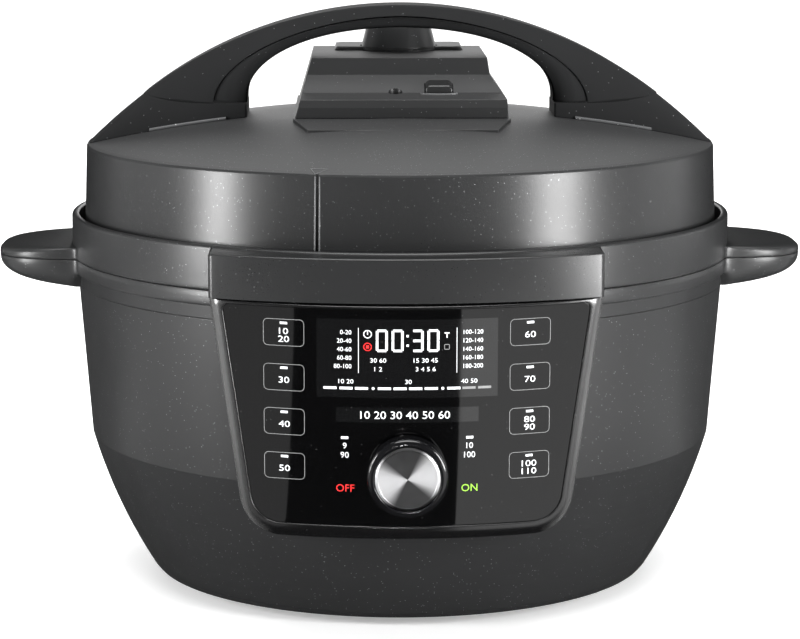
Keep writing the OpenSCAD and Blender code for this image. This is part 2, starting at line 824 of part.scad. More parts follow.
module bayonet_ring() {
    z0 = z_channel + liner_t;
    color("#b7babd") difference() {
        union() {
            ring(tab_in_r, bay_in_r, z0, z_tab);
            ring(bay_in_r + bay_flange_w, bay_in_r, z0, z0 + bay_flange_t);
            for (i = [0:lug_n - 1]) rotate([0, 0, lug_pitch * i])
                ring_sector(tab_out_r, tab_in_r - 1, z_tab - lug_t, z_tab, lug_arc);
        }
        around(8, flange_screw_r, 0) translate([0, 0, z0 - 1])
            cylinder(r = flange_shank_r + run_gap, h = 6, $fn = 24);
    }
}

module flange_screws() {
    z0 = z_channel + liner_t + bay_flange_t;
    color("#d0d2d4") around(8, flange_screw_r, 0) translate([0, 0, z0])
        mirror([0, 0, 1]) screw(flange_shank_r, liner_t + bay_flange_t + channel_t + 2, 2.7, 1.4);
}

module heating_plate() {
    color("#c4c6c8") difference() {
        union() {
            translate([0, 0, z_plate_low]) cylinder(r = plate_r, h = plate_t - 0.6);
            translate([0, 0, z_plate_low + plate_t - 0.7]) cylinder(r = plate_r - 1, h = 0.7);
        }
        translate([0, 0, z_plate_low - 1]) cylinder(r = sensor_r + 0.6, h = plate_t + 2);
        translate([0, 0, z_plate_low]) rotate_extrude() translate([element_r, -0.5])
            circle(r = element_d / 2 + gap, $fn = 32);
        for (r = [40, 58, 95]) ring(r + 0.5, r - 0.5, z_plate - 0.4, z_plate + 1);
    }
}

module heating_element() {
    color("#7c7f80") difference() {
        union() {
            translate([0, 0, z_plate_low]) rotate_extrude() translate([element_r, -0.5])
                circle(r = element_d / 2, $fn = 32);
            for (a = [-20, 20]) rotate([0, 0, a]) translate([0, -element_r, z_floor - 9])
                cylinder(r = 3, h = z_plate_low - z_floor + 7, $fn = 32);
        }
        rotate([0, 0, -90]) ring_sector(plate_r, 40, z_floor, z_plate_low + 10, 30);
    }
}

module plate_supports() {
    color("#8f9396") around(3, plate_r - 47, 30) difference() {
        union() {
            translate([0, 0, z_floor]) cylinder(r = 5, h = z_plate_low - z_floor, $fn = 32);
            translate([0, 0, z_floor]) cylinder(r = 8, h = 2, $fn = 32);
        }
        translate([0, 0, z_floor - 1]) cylinder(r = 2, h = 6, $fn = 24);
    }
}

module sensor_can() {
    color("#b9bcbe") rotate_extrude() polygon([[0, z_sensor_low], [sensor_flange_r, z_sensor_low],
        [sensor_flange_r, z_sensor_low + sensor_flange_t], [sensor_r, z_sensor_low + sensor_flange_t],
        [sensor_r, z_plate - 1], [sensor_r - 1, z_plate], [0, z_plate]]);
}

module sensor_spring() {
    color("#d4d6d8") translate([0, 0, z_floor + gap])
        coil(sensor_r - 1, 1, z_sensor_low - z_floor - 2 * gap, 3);
}

module pressure_switch() {
    color("#d9d4c4") translate([46, 20, z_floor - liner_t]) {
        translate([-9, -5, -9]) cube([18, 10, 9 - gap]);
        translate([-4, 0, -11]) cylinder(r = 1.6, h = 3, $fn = 24);
        translate([5, 0, -12]) cylinder(r = 1.2, h = 4, $fn = 24);
    }
}

module thermal_fuse() {
    color("#dcdcdc") translate([-40, 46, z_floor - liner_t - 2.5 - gap]) {
        rotate([0, 90, 0]) cylinder(r = 2.5, h = 12, $fn = 32);
        translate([-5, 0, 0]) rotate([0, 90, 0]) cylinder(r = 0.6, h = 22, $fn = 16);
    }
}

// ---- Power electronics --------------------------------------------------------------------

board_side = 60;
power_x = -52;
power_y = 0;
standoff_h = 4;
z_board = z_bottom + shell_t + standoff_h;

module power_board() {
    color("#1f5a35") translate([power_x - board_side / 2 - 5, power_y - board_side / 2 - 5, z_board])
        cube([board_side + 10, board_side + 10, board_t]);
}

module board_parts() {
    translate([power_x, power_y, z_board + board_t]) {
        color("#20242a") translate([-30, -28, 0]) cube([19, 15, 9]);
        color("#20242a") translate([-30, 4, 0]) cube([16, 12, 9]);
        color("#b8a23c") translate([2, -26, 0]) cube([22, 20, 8]);
        color("#2a3f7a") translate([10, 12, 0]) cylinder(r = 5, h = 9, $fn = 32);
        color("#2a3f7a") translate([-4, 20, 0]) cylinder(r = 4, h = 8, $fn = 32);
        color("#f0efe8") translate([16, 20, 0]) cube([14, 8, 8]);
    }
}

// Radius of the lower body at height h above its bottom edge
function body_r(h) = let (t = (h - corner_h) / (lower_h - corner_h), r0 = bottom_r + corner_w)
    r0 + (crease_r - r0) * t + 4 * belly * t * (1 - t);

module inlet_cut() {
    translate([-inlet_w / 2 - 2.4, 60, z_inlet - inlet_h / 2 - 2.4])
        cube([inlet_w + 4.8, inlet_y, inlet_h + 4.8]);
}

// Depth of the inlet's flange, just outside the body at the flange's upper edge
inlet_y = body_r(inlet_up + inlet_h / 2 + 4) + 2 + gap;
inlet_l = 25;

module inlet_screw_holes() {
    for (s = [-1, 1]) translate([s * (inlet_w / 2 + 7), inlet_y + 2, z_inlet]) rotate([90, 0, 0])
        cylinder(r = small_screw_r + run_gap, h = 24, $fn = 24);
}

module power_inlet() {
    w = inlet_w;
    h = inlet_h;
    color("#17181a") translate([0, 0, z_inlet]) difference() {
        union() {
            translate([-w / 2 - 2, inlet_y - inlet_l, -h / 2 - 2]) cube([w + 4, inlet_l, h + 4]);
            translate([-w / 2 - 12, inlet_y - 2, -h / 2 - 4]) cube([w + 24, 3, h + 8]);
            difference() {
                translate([-w / 2 - 12, inlet_y - 30, -h / 2 - 4]) cube([w + 24, 28 + eps, h + 8]);
                difference() {
                    translate([-w / 2 - 11, inlet_y - 31, -h / 2 - 3]) cube([w + 22, 32, h + 6]);
                    for (s = [-1, 1]) translate([s * (w / 2 + 7), inlet_y, 0]) rotate([90, 0, 0])
                        cylinder(r = 3, h = 40, $fn = 32);
                }
                translate([0, 0, -z_inlet]) body_envelope(gap);
            }
        }
        translate([-w / 2, inlet_y - 18, -h / 2]) cube([w, 30, h]);
        translate([0, 0, -z_inlet]) pins(run_gap);
        translate([0, 0, -z_inlet]) inlet_screw_holes();
    }
}

module pins(g) {
    for (p = [[-7, -2], [7, -2], [0, 2.5]])
        translate([p[0] - 1 - g, inlet_y - inlet_l - 5, z_inlet + p[1] - 2 - g])
            cube([2 + 2 * g, inlet_l, 4 + 2 * g]);
}

module inlet_pins() {
    color("#c9b467") pins(0);
}

module inlet_screws() {
    color("#9a9c9f") for (s = [-1, 1]) translate([s * (inlet_w / 2 + 7), inlet_y + 1, z_inlet])
        rotate([90, 0, 0]) screw(small_screw_r, 14, 2.8, 1.6);
}

function unit(v) = v / norm(v);

// Line of points with its corners rounded, 6 mm from each corner or less
function rounded(pts) = [
    for (i = [0:len(pts) - 1]) if (i == 0 || i == len(pts) - 1) pts[i]
    else let (q = pts[i], u = pts[i - 1] - q, v = pts[i + 1] - q,
              a = q + u * min(0.4, 6 / norm(u)), b = q + v * min(0.4, 6 / norm(v)))
        for (t = [0:1 / 3:1.01]) a * (1 - t) * (1 - t) + q * 2 * t * (1 - t) + b * t * t
];

// Normals that turn as little as possible along the directions d
function normals(d, n, i = 0) = i == len(d) ? [] :
    let (m = unit(n - d[i] * (n * d[i]))) concat([m], normals(d, m, i + 1));

// Wire along a line of points, with round bends
module cable(corners, r) {
    sides = 8;
    pts = rounded(corners);
    last = len(pts) - 1;
    d = [for (i = [0:last]) unit(pts[min(i + 1, last)] - pts[max(i - 1, 0)])];
    n = normals(d, abs(d[0][0]) > 0.9 ? [0, 1, 0] : [1, 0, 0]);
    rings = [for (i = [0:last]) for (j = [0:sides - 1])
        pts[i] + n[i] * (r * cos(360 * j / sides)) + cross(d[i], n[i]) * (r * sin(360 * j / sides))];
    walls = [for (i = [0:last - 1]) for (j = [0:sides - 1]) let (k = (j + 1) % sides)
        [i * sides + j, (i + 1) * sides + j, (i + 1) * sides + k, i * sides + k]];
    ends = [[for (j = [0:sides - 1]) j], [for (j = [sides - 1:-1:0]) last * sides + j]];
    polyhedron(points = rings, faces = concat(walls, ends), convexity = 6);
}

module wire_harness() {
    r = 1.2;
    z = z_board + board_t + 4;
    y = liner_out_r + 3.4;
    pin_y = inlet_y - inlet_l - 5 - r - gap;
    terminal = [element_r * sin(20), -element_r * cos(20), z_floor - 9 - gap];
    plug = [power_x + 8, power_y - 28.6, z];
    board_plug_y = -panel_front + board_y + board_t + 11.6;
    color("#b33a2e") {
        for (p = [[-7, -2, 18], [0, 2.5, 22], [7, -2, 26]])
            cable([[p[0], pin_y + r, z_inlet + p[1]], [p[0], pin_y - 8, z_inlet + p[1]],
                   [power_x + p[2], power_y + 32, z], [power_x + p[2], power_y + 28.4, z]], r);
        for (s = [-1, 1]) cable([[s * terminal[0], terminal[1], terminal[2]],
                                 [s * terminal[0], terminal[1], terminal[2] - 4],
                                 [power_x + 29, power_y - 16 + 5 * s, z],
                                     [power_x + 24.4, power_y - 16 + 5 * s, z]], r);
        for (i = [-1:1]) cable([plug + [4 * i, 0, 0], plug + [4 * i, -12, 0], [-11 + 4 * i, -y + 20, z],
                                [-11 + 4 * i, -y, z_floor], [-11 + 4 * i, -y, z_panel - 100],
                                [-11 + 4 * i, board_plug_y, z_panel - 92]], r);
    }
}

module cup_cut() {
    for (s = [-1, 1]) translate([s * (cup_w / 2 - 10) - 4.3, cup_y, z_cup - 10.3]) cube([8.6, 60, 4.6]);
}

// Cup that catches condensation, held by two hooks in slots at the back
module condensation_cup() {
    y1 = cup_back;
    color("#55585a", 0.6) difference() {
        union() {
            difference() {
                translate([-cup_w / 2, cup_y, z_cup - cup_h]) cube([cup_w, y1 - cup_y, cup_h]);
                body_envelope(1);
            }
            for (s = [-1, 1]) translate([s * (cup_w / 2 - 10) - 4, hook_y, z_cup - 10]) cube([8, 14, 4]);
        }
        difference() {
            translate([-cup_w / 2 + cup_t, cup_y, z_cup - cup_h + cup_t])
                cube([cup_w - 2 * cup_t, y1 - cup_y - cup_t, cup_h]);
            body_envelope(1 + cup_t);
        }
    }
}

// ---- Pot and seal -------------------------------------------------------------------------

module inner_pot() {
    bend = 12;
    color("#c8cacc") rotate_extrude() polygon(concat(
        [[0, z_pot]], arc(pot_out_r - bend, z_pot + bend, bend, -90, 0, 8),
        [[pot_out_r, z_lip - lip_t], [pot_out_r + lip_w, z_lip - lip_t],
            [pot_out_r + lip_w, z_lip], [pot_r, z_lip]],
        arc(pot_r - bend + pot_t, z_pot + bend + pot_floor_t - pot_t, bend - pot_t, 0, -90, 8),
        [[0, z_pot + pot_floor_t]]));
}

module sealing_ring() {
    r1 = steel_in_r - slide_gap;
    r0 = pot_out_r + 3;
    z1 = z_ring + ring_h;
    color("#b9bcbd") rotate_extrude() polygon([[r0, z_ring], [r1, z_ring], [r1, z1], [r0 + 2.4, z1],
        [r0 + 2.4, z1 - 2.8], [r1 - 3.2, z1 - 2.8], [r1 - 3.2, z_ring + 2.8], [r0, z_ring + 2.8]]);
}

// ---- Lid ----------------------------------------------------------------------------------

module lid_plate() {
    z1 = z_steel + steel_t;
    r_out = steel_in_r - 24;
    color("#c2c5c7") difference() {
        union() {
            rotate_extrude() polygon([[0, z_steel_mid], [steel_mid_r, z_steel_mid], [r_out, z_steel],
                [steel_in_r, z_steel], [steel_in_r, z_lug - lug_t], [steel_out_r, z_lug - lug_t],
                [steel_out_r, z1], [r_out, z1], [steel_mid_r, z_steel_top], [0, z_steel_top]]);
            for (i = [0:lug_n - 1]) rotate([0, 0, lug_pitch * (i + 0.5)])
                ring_sector(steel_in_r + 0.5, tab_in_r + slide_gap + 1, z_lug - lug_t, z_lug, lug_arc);
        }
        translate([0, vent_y, z_steel_mid - 1]) cylinder(r = vent_pipe_r + run_gap, h = 10, $fn = 48);
        translate([float_x, -float_y, z_steel_mid - 1])
            cylinder(r = float_r + run_gap, h = 10, $fn = 48);
    }
}

module ring_rack() {
    z0 = z_ring + ring_h / 2;
    r_wire = pot_out_r + 8;
    color("#d0d2d4") {
        translate([0, 0, z0]) rotate_extrude() translate([r_wire, 0]) circle(r = 1.5, $fn = 24);
        around(8, pot_out_r, 22.5) translate([0.4, -2, z0 - 1]) {
            cube([7.8, 4, 2]);
            cube([2, 4, z_steel - z0 + 1]);
        }
    }
}

// Window in the lid's shell under the steam cover
module lid_window() {
    translate([-window_x, window_y0, z_dome - 30]) cube([2 * window_x, window_y1 - window_y0, 60]);
}

stud_r = 2.5;
front_stud_shank_r = 2;
handle_screw_r = 1.8;
screw_xs = [hand_half_w + grip_foot_w / 2, lid_r - 45];
stud_x = (screw_xs[0] + screw_xs[1]) / 2;
front_stud_x = 46;
front_stud_y = steam_front - 7;
front_stud_r = norm([front_stud_x, front_stud_y]);

// Pad that carries the steam cover, running out flush with the dome at its front
module pad() {
    x = steam_half_w + 0.5;
    low = z_pad - pad_deep;
    intersection() {
        translate([-x, 0, 0]) rotate([90, 0, 90]) linear_extrude(height = 2 * x)
            polygon([[-pad_front, low], [-pad_front, dome_z(pad_front)], [-steam_front, z_pad],
                     [steam_back + 4, z_pad], [steam_back + 4, low]]);
        translate([0, 0, low - 1]) linear_extrude(height = 2 * pad_deep)
            polygon([[-x + 8, -pad_front - 1], [x - 8, -pad_front - 1], [x, -steam_front],
                     [x, steam_back + 5], [-x, steam_back + 5], [-x, -steam_front]]);
    }
}

module lid_shell() {
    inner_r = dome_r - lid_t;
    edge_a = asin(lid_r / dome_r);
    color("#434445") difference() {
        union() {
            rotate_extrude() polygon(concat(
                [[lid_low_r - lid_t, z_skirt], [lid_low_r, z_skirt], [lid_r, z_lid - z_edge_step],
                    [lid_r - 0.6, z_lid]],
                arc(0, z_dome - dome_r, dome_r, 90 - edge_a + 0.25, 90, 24),
                [[0, z_dome - lid_t]],
                arc(0, z_dome - dome_r, inner_r, 90, 90 - asin((lid_r - lid_t) / inner_r), 24)));
            pad();
            for (s = [-1, 1]) translate([s * stud_x, 0, 0]) boss(6, stud_x);
            for (s = [-1, 1]) translate([s * front_stud_x, -front_stud_y, 0]) boss(5, front_stud_r);
        }
        lid_window();
        rotate([0, 0, -90 - mark_a]) translate([lid_r - 0.6, -0.8, z_skirt - 1])
            cube([8, 1.6, lid_up + lid_down + 3]);
        for (s = [-1, 1]) translate([s * stud_x, 0, z_steel])
            cylinder(r = stud_r + run_gap, h = 80, $fn = 32);
        screw_holes();
        for (s = [-1, 1]) translate([s * front_stud_x, -front_stud_y, z_steel])
            cylinder(r = front_stud_shank_r + run_gap, h = 80, $fn = 32);
    }
}

// Height of the steel plate's upper face at radius r
function steel_z(r) = r < steel_mid_r ? z_steel_top :
    z_steel_top - steel_rise * (r - steel_mid_r) / (steel_in_r - 24 - steel_mid_r);

// Boss from the steel plate up to the shell at radius place
module boss(r, place) {
    z0 = steel_z(place - r) + gap;
    translate([0, 0, z0]) cylinder(r = r, h = dome_z(place + r) - lid_t / 2 - z0, $fn = 48);
}

module lid_studs() {
    color("#9a9c9f") {
        for (s = [-1, 1]) translate([s * stud_x, 0, 0]) {
            translate([0, 0, steel_z(stud_x - 3)])
                cylinder(r = stud_r, h = z_feet - 1 - steel_z(stud_x - 3), $fn = 32);
            translate([0, 0, z_feet - 5]) cylinder(r = 4.6, h = 3, $fn = 6);
        }
        for (s = [-1, 1]) translate([s * front_stud_x, -front_stud_y, 0]) {
            translate([0, 0, z_steel_top])
                cylinder(r = front_stud_shank_r, h = z_pad + 5 - z_steel_top, $fn = 32);
        }
    }
}

float_y = 34;

// ---- Arch handle --------------------------------------------------------------------------

// Half outline of the hand opening, and of the seam between the cover and the grip
function hand_curve(n) = lifted(quarter(hand_half_w, z_arch - arch_t - z_feet - 4, hand_n, n),
    z_feet + 4);
function seam_curve(g,
    n) = lifted(quarter(hand_half_w + grip_foot_w + g, z_arch - arch_t + grip_t - z_feet + g,
        part_n, n), z_feet);

// Outer curve of the arch from height z up to the top
function outer_curve(z, n) =
    let (a = asin((z - z_arch_c) / arch_r)) arc(0, z_arch_c, arch_r, a, 90, n);

// Plan of the arch: even all along, with ends that follow the edge of the lid
module arch_plan(inset) {
    tip = lid_r - 0.6 - inset;
    h = arch_d / 2 - inset;
    a = asin(h / tip);
    polygon(concat(arc(0, 0, tip, -a, a, 8), arc(0, 0, tip, 180 - a, 180 + a, 8)));
}

module arch_extrude(inset) {
    intersection() {
        translate([0, arch_d / 2, 0]) rotate([90, 0, 0]) linear_extrude(height = arch_d) children();
        translate([0, 0, z_lid - 20]) linear_extrude(height = arch_h + 60) arch_plan(inset);
    }
}

module handle_cover() {
    z0 = z_feet + gap;
    x1 = sqrt(arch_r * arch_r - pow(z0 + 4 - z_arch_c, 2));
    inner = seam_curve(gap, 20);
    half = concat([[inner[0][0], z0], [x1 - 12, z0]], outer_curve(z0 + 4, 24));
    color("#3d3e3f") difference() {
        arch_extrude(0) difference() {
            polygon(concat(half, mirrored(half)));
            polygon(concat([[inner[0][0], z0 - 1]], inner, mirrored(inner), [[-inner[0][0], z0 - 1]]));
        }
        screw_holes();
    }
}

module handle_grip() {
    z0 = z_feet + gap;
    outer = seam_curve(0, 20);
    inner = hand_curve(20);
    color("#37383a") difference() {
        arch_extrude(1) difference() {
            polygon(concat([[outer[0][0], z0]], outer, mirrored(outer), [[-outer[0][0], z0]]));
            polygon(concat([[inner[0][0], z0 - 1]], inner, mirrored(inner), [[-inner[0][0], z0 - 1]]));
            translate([-300, z0 - 100]) square([600, 100]);
        }
        screw_holes();
    }
}

module handle_feet() {
    x1 = sqrt(arch_r * arch_r - pow(z_feet + 4 - z_arch_c, 2));
    outer = reversed(outer_curve(z_lid - 2, 24));
    edge = [for (p = outer) if (p[1] < z_feet + 4 && p[0] > hand_half_w) p];
    color("#383a3b") difference() {
        arch_extrude(0) for (s = [-1, 1]) scale([s, 1]) polygon(concat(
            [[hand_half_w, z_lid - 12], [hand_half_w, z_feet], [x1 - 12, z_feet],
                [x1, z_feet + 4 - gap]],
            edge, [[lid_r - 4, z_lid - 12]]));
        dome_solid(gap);
        for (s = [-1, 1]) translate([s * stud_x, 0, 0]) {
            translate([0, 0, z_lid]) cylinder(r = stud_r + run_gap, h = 60, $fn = 32);
            translate([0, 0, z_feet - 5 - gap]) cylinder(r = 5.4, h = 20, $fn = 32);
        }
        screw_holes();
    }
}

// Holes for the screws that hold the handle to the lid from below
module screw_holes() {
    for (s = [-1, 1], x = screw_xs) translate([s * x, 0, z_lid - 12])
        cylinder(r = handle_screw_r + run_gap, h = z_feet - z_lid + 21, $fn = 32);
}

module dome_solid(g) {
    translate([0, 0, z_dome - dome_r + g]) intersection() {
        sphere(r = dome_r, $fn = 240);
        cylinder(r = lid_r + 5, h = dome_r + 10);
    }
}

module handle_screws() {
    color("#9a9c9f") for (s = [-1, 1], x = screw_xs) let (z = dome_z(x + 4) - lid_t - gap)
        translate([s * x, 0, z]) screw(handle_screw_r, z_feet + 8 - z, 3.6, 2);
}

// ---- Steam cover --------------------------------------------------------------------------

// Side outline of the steam cover: y against z
function steam_side(g) = [
    [-steam_front + g, z_dome - 12], [-steam_front + g, z_dome + shelf_h - 4],
        [-steam_front + 1.5 + g, z_dome + shelf_h - g],
    [-steam_front + shelf_d + g, z_dome + shelf_h + 2 - g],
        [-steam_front + shelf_d + slope_d + g, z_dome + slope_h - g],
    [-steam_front + shelf_d + slope_d + 1 + g, z_steam - g], [steam_back - 9 - g, z_steam - g],
    [steam_back - 3 - g, z_steam - 5 - g], [steam_back - g, z_dome - 12]
];

steam_lean = 2.4;

// Front outline of the steam cover: x against z
function steam_front_side(g) = [
    [steam_half_w - g, z_dome - 12], [steam_half_w - 1.2 - g, z_dome + shelf_h],
        [steam_top_half_w + 3 - g, z_dome + slope_h],
    [steam_top_half_w - g, z_steam + 10], [g - steam_top_half_w, z_steam + 10],
        [g - steam_half_w - steam_lean, z_dome - 12]
];

module steam_block(g) {
    intersection() {
        translate([-100, 0, 0]) rotate([90, 0, 90]) linear_extrude(height = 200) polygon(steam_side(g));
        translate([0, 150, 0]) rotate([90, 0, 0]) linear_extrude(height = 300)
            polygon(steam_front_side(g));
    }
}

module steam_cover() {
    color("#4a4b4c") difference() {
        union() {
            difference() {
                steam_block(0);
                steam_block(steam_t);
            }
            translate([0, vent_y, z_steam - 9]) cylinder(r = vent_skirt_r + 2.5, h = 9 - eps);
            for (s = [-1, 1]) translate([s * front_stud_x, -front_stud_y, z_pad])
                cylinder(r = 4, h = z_dome + shelf_h - z_pad - steam_t / 2, $fn = 32);
            ridge();
        }
        translate([-collar_r, -collar_r, z_pad + gap - 50]) cube([2 * collar_r, 2 * collar_r, 50]);
        translate([0, vent_y, z_steam - 20]) cylinder(r = vent_skirt_r, h = 40);
        translate([button_x - button_w / 2 - slide_gap, -button_y - button_d / 2 - slide_gap, z_pad])
            cube([button_w + 2 * slide_gap, button_d + 2 * slide_gap, 30]);
        translate([float_x, -float_y, z_dome - 5]) cylinder(r = float_r + slide_gap, h = 30, $fn = 32);
        for (s = [-1, 1]) translate([s * front_stud_x, -front_stud_y, z_pad - 1])
            cylinder(r = front_stud_shank_r + run_gap, h = 7, $fn = 32);
    }
}

vent_skirt_r = 13.5;
ridge_w = 68;
ridge_h = 2;

// Raised step behind the vent cap
module ridge() {
    y = vent_y + vent_cap_r + 0.6;
    translate([-ridge_w / 2, y, z_steam - 1]) cube([ridge_w, steam_back - 9 - y, 1 + ridge_h]);
}

z_pipe_top = z_dome + 14;

module vent_pipe() {
    color("#c6a85a") translate([0, vent_y, 0]) difference() {
        union() {
            translate([0, 0, z_steel_mid - 7])
                cylinder(r = vent_pipe_r, h = z_pipe_top - z_steel_mid + 7, $fn = 48);
            translate([0, 0, z_steel_top]) cylinder(r = vent_pipe_r + 3, h = 3, $fn = 48);
        }
        translate([0, 0, z_steel_mid - 8]) cylinder(r = 1.8, h = 80, $fn = 32);
    }
}

module vent_nut() {
    color("#b9bcbe") translate([0, vent_y, z_steel_mid - 5]) difference() {
        cylinder(r = 8, h = 5, $fn = 6);
        translate([0, 0, -1]) cylinder(r = vent_pipe_r + run_gap, h = 7, $fn = 48);
    }
}

module valve_weight() {
    z0 = z_pipe_top - 6;
    color("#9da0a2") translate([0, vent_y, z0]) difference() {
        union() {
            cylinder(r = vent_pipe_r + 5.5, h = 2, $fn = 48);
            cylinder(r = vent_pipe_r + 3, h = 14, $fn = 48);
        }
        translate([0, 0, -1]) cylinder(r = vent_pipe_r + slide_gap, h = 7 + gap, $fn = 48);
    }
}

// Diffuser over the vent, pulled off upwards for cleaning
module vent_cap() {
    z0 = z_steam + gap;
    color("#343536") translate([0, vent_y, z0]) difference() {
        union() {
            rotate_extrude() polygon(concat([[0, 0], [vent_cap_r, 0]],
                arc(vent_cap_top_r - 1.6, vent_cap_h - 1.6, 1.6, 10, 90, 4), [[0, vent_cap_h]]));
            translate([0, 0, -5]) cylinder(r = vent_skirt_r - slide_gap, h = 5 + eps);
        }
        translate([0, 0, -6]) cylinder(r = vent_skirt_r - 2.1, h = vent_cap_h + 2.6);
        for (a = [-60:60:60]) rotate([0, 0, 90 + a]) translate([8, -2, 2]) cube([20, 4, 3]);
    }
}

module release_button() {
    z0 = z_dome + shelf_h - button_travel - slide_gap;
    z1 = z_dome + shelf_h + 8;
    stem_z = lever_z + lever_t + gap;
    color("#2b2c2e") translate([button_x, -button_y, 0]) {
        difference() {
            translate([-button_w / 2, -button_d / 2, z0]) cube([button_w, button_d, z1 - z0]);
            translate([-20, -button_d / 2, z1 - 2.4]) rotate([16, 0, 0]) cube([40, 30, 20]);
        }
        translate([0, 0, stem_z]) cylinder(r = 2.5, h = z0 - stem_z + eps, $fn = 32);
    }
}

module button_spring() {
    z0 = lever_z + lever_t + gap;
    color("#d4d6d8") translate([button_x, -button_y, z0 + 1])
        coil(4, 0.8, z_dome + shelf_h - 3.8 - z0 - 1, 3);
}

// Lever that the button pushes down at one end, so that its fork lifts the valve
module release_lever() {
    up = z_pipe_top - 6 - slide_gap;
    color("#6c6f71") difference() {
        union() {
            translate([button_x - lever_w / 2, -button_y - 3, lever_z])
                cube([lever_w, button_y + vent_y + 3, lever_t]);
            translate([0, vent_y - 3, lever_z]) cube([button_x, 6, lever_t]);
            translate([0, vent_y, lever_z]) cylinder(r = vent_pipe_r + 5.4, h = lever_t, $fn = 48);
            for (s = [-1, 1]) translate([s * (vent_pipe_r + 3.9) - 1.3, vent_y - 3, lever_z])
                cube([2.6, 6, up - lever_z]);
            translate([button_x - 8, pivot_y, lever_z + lever_t / 2]) rotate([0, 90, 0])
                cylinder(r = 2.2, h = 16, $fn = 32);
        }
        translate([0, vent_y, lever_z - 5]) cylinder(r = vent_pipe_r + 1.6, h = 40, $fn = 48);
    }
}

module anti_block_shield() {
    z1 = z_steel_mid - gap;
    color("#c0c3c5") translate([0, vent_y, 0]) difference() {
        translate([0, 0, z1 - 11]) cylinder(r = 10.5, h = 11, $fn = 48);
        translate([0, 0, z1 - 10]) cylinder(r = 9.3, h = 12, $fn = 48);
        for (a = [0:30:150]) rotate([0, 0, a]) translate([-12, -1, z1 - 8]) cube([24, 2, 5]);
    }
}

float_seal_h = 4.2;
float_seal_floor = 2;
z_float_seal = z_steel_mid - float_travel - gap - float_seal_h;

module float_pin() {
    z0 = z_float_seal + float_seal_floor;
    z1 = z_dome + shelf_h - 0.6;
    color("#b23228") translate([float_x, -float_y, 0]) {
        translate([0, 0, z0]) cylinder(r = float_r, h = z1 - z0, $fn = 48);
        translate([0, 0, z_steel_top + gap]) cylinder(r = float_r + 2.4, h = 1.6, $fn = 48);
    }
}

module float_seal() {
    color("#9a9c9d") translate([float_x, -float_y, z_float_seal]) difference() {
        cylinder(r = float_r + 3.3, h = float_seal_h, $fn = 48);
        translate([0, 0, float_seal_floor]) cylinder(r = float_r + run_gap, h = float_seal_h, $fn = 48);
    }
}

base_housing();
bottom_cover();
feet();
base_screws();
lower_collar();
upper_collar();
collar_screws();
front_band();
panel_frame();
panel_glass();
display_module();
message_display();
key_lights();
control_board();
board_screws();
dial_encoder();
dial_plunger();
dial_shaft();
dial_ring();
dial_cap();
liner();
bayonet_ring();
flange_screws();
heating_plate();
heating_element();
plate_supports();
sensor_can();
sensor_spring();
pressure_switch();
thermal_fuse();
power_board();
board_parts();
power_inlet();
inlet_pins();
inlet_screws();
wire_harness();
condensation_cup();
inner_pot();
sealing_ring();
lid_shell();
lid_plate();
ring_rack();
lid_studs();
handle_feet();
handle_cover();
handle_grip();
handle_screws();
steam_cover();
vent_pipe();
vent_nut();
valve_weight();
vent_cap();
release_button();
button_spring();
release_lever();
anti_block_shield();
float_pin();
float_seal();
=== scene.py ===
"""Looks of a wide electric pressure cooker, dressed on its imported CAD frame.

Lengths are metres in the CAD's own frame: the pot's axis is Z, the counter is z = 0 and the
control panel faces -Y. MM turns a size in millimetres into metres.
DOME_R and DOME_TOP are the radius of the lid's dome and the height of its top, in millimetres.
"""

from __future__ import annotations

import json
import logging
import math
from dataclasses import dataclass, field
from enum import Enum
from typing import Callable, Sequence

import bmesh
import bpy
import numpy as np
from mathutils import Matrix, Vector


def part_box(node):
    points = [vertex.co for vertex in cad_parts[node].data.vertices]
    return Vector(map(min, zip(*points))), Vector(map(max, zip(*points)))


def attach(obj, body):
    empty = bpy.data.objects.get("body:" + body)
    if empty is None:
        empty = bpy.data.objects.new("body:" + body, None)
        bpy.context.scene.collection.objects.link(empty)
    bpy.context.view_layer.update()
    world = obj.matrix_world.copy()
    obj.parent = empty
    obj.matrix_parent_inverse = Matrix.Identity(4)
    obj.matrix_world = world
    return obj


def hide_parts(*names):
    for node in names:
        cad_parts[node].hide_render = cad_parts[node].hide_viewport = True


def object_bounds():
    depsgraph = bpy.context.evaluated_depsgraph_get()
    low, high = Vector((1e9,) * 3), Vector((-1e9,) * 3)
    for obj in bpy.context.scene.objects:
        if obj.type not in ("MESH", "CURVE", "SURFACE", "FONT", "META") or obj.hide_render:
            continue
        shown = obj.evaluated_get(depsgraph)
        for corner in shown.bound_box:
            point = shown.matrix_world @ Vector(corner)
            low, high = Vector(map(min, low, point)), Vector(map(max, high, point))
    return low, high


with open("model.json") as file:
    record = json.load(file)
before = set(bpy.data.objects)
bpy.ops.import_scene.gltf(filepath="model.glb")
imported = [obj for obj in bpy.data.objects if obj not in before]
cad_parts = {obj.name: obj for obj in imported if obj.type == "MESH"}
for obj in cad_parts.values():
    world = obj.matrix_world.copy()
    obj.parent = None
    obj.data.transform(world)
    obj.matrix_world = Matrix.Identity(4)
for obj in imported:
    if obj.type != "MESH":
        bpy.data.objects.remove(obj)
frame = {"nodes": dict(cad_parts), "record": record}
CAD_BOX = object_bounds()
LOG = logging.getLogger("cooker")
MM = 0.001
DOME_R, DOME_TOP = 753.0, 248.0
Array = np.ndarray
Colour = tuple[float, float, float]


# ---- Surfaces on grids ------------------------------------------------------------------


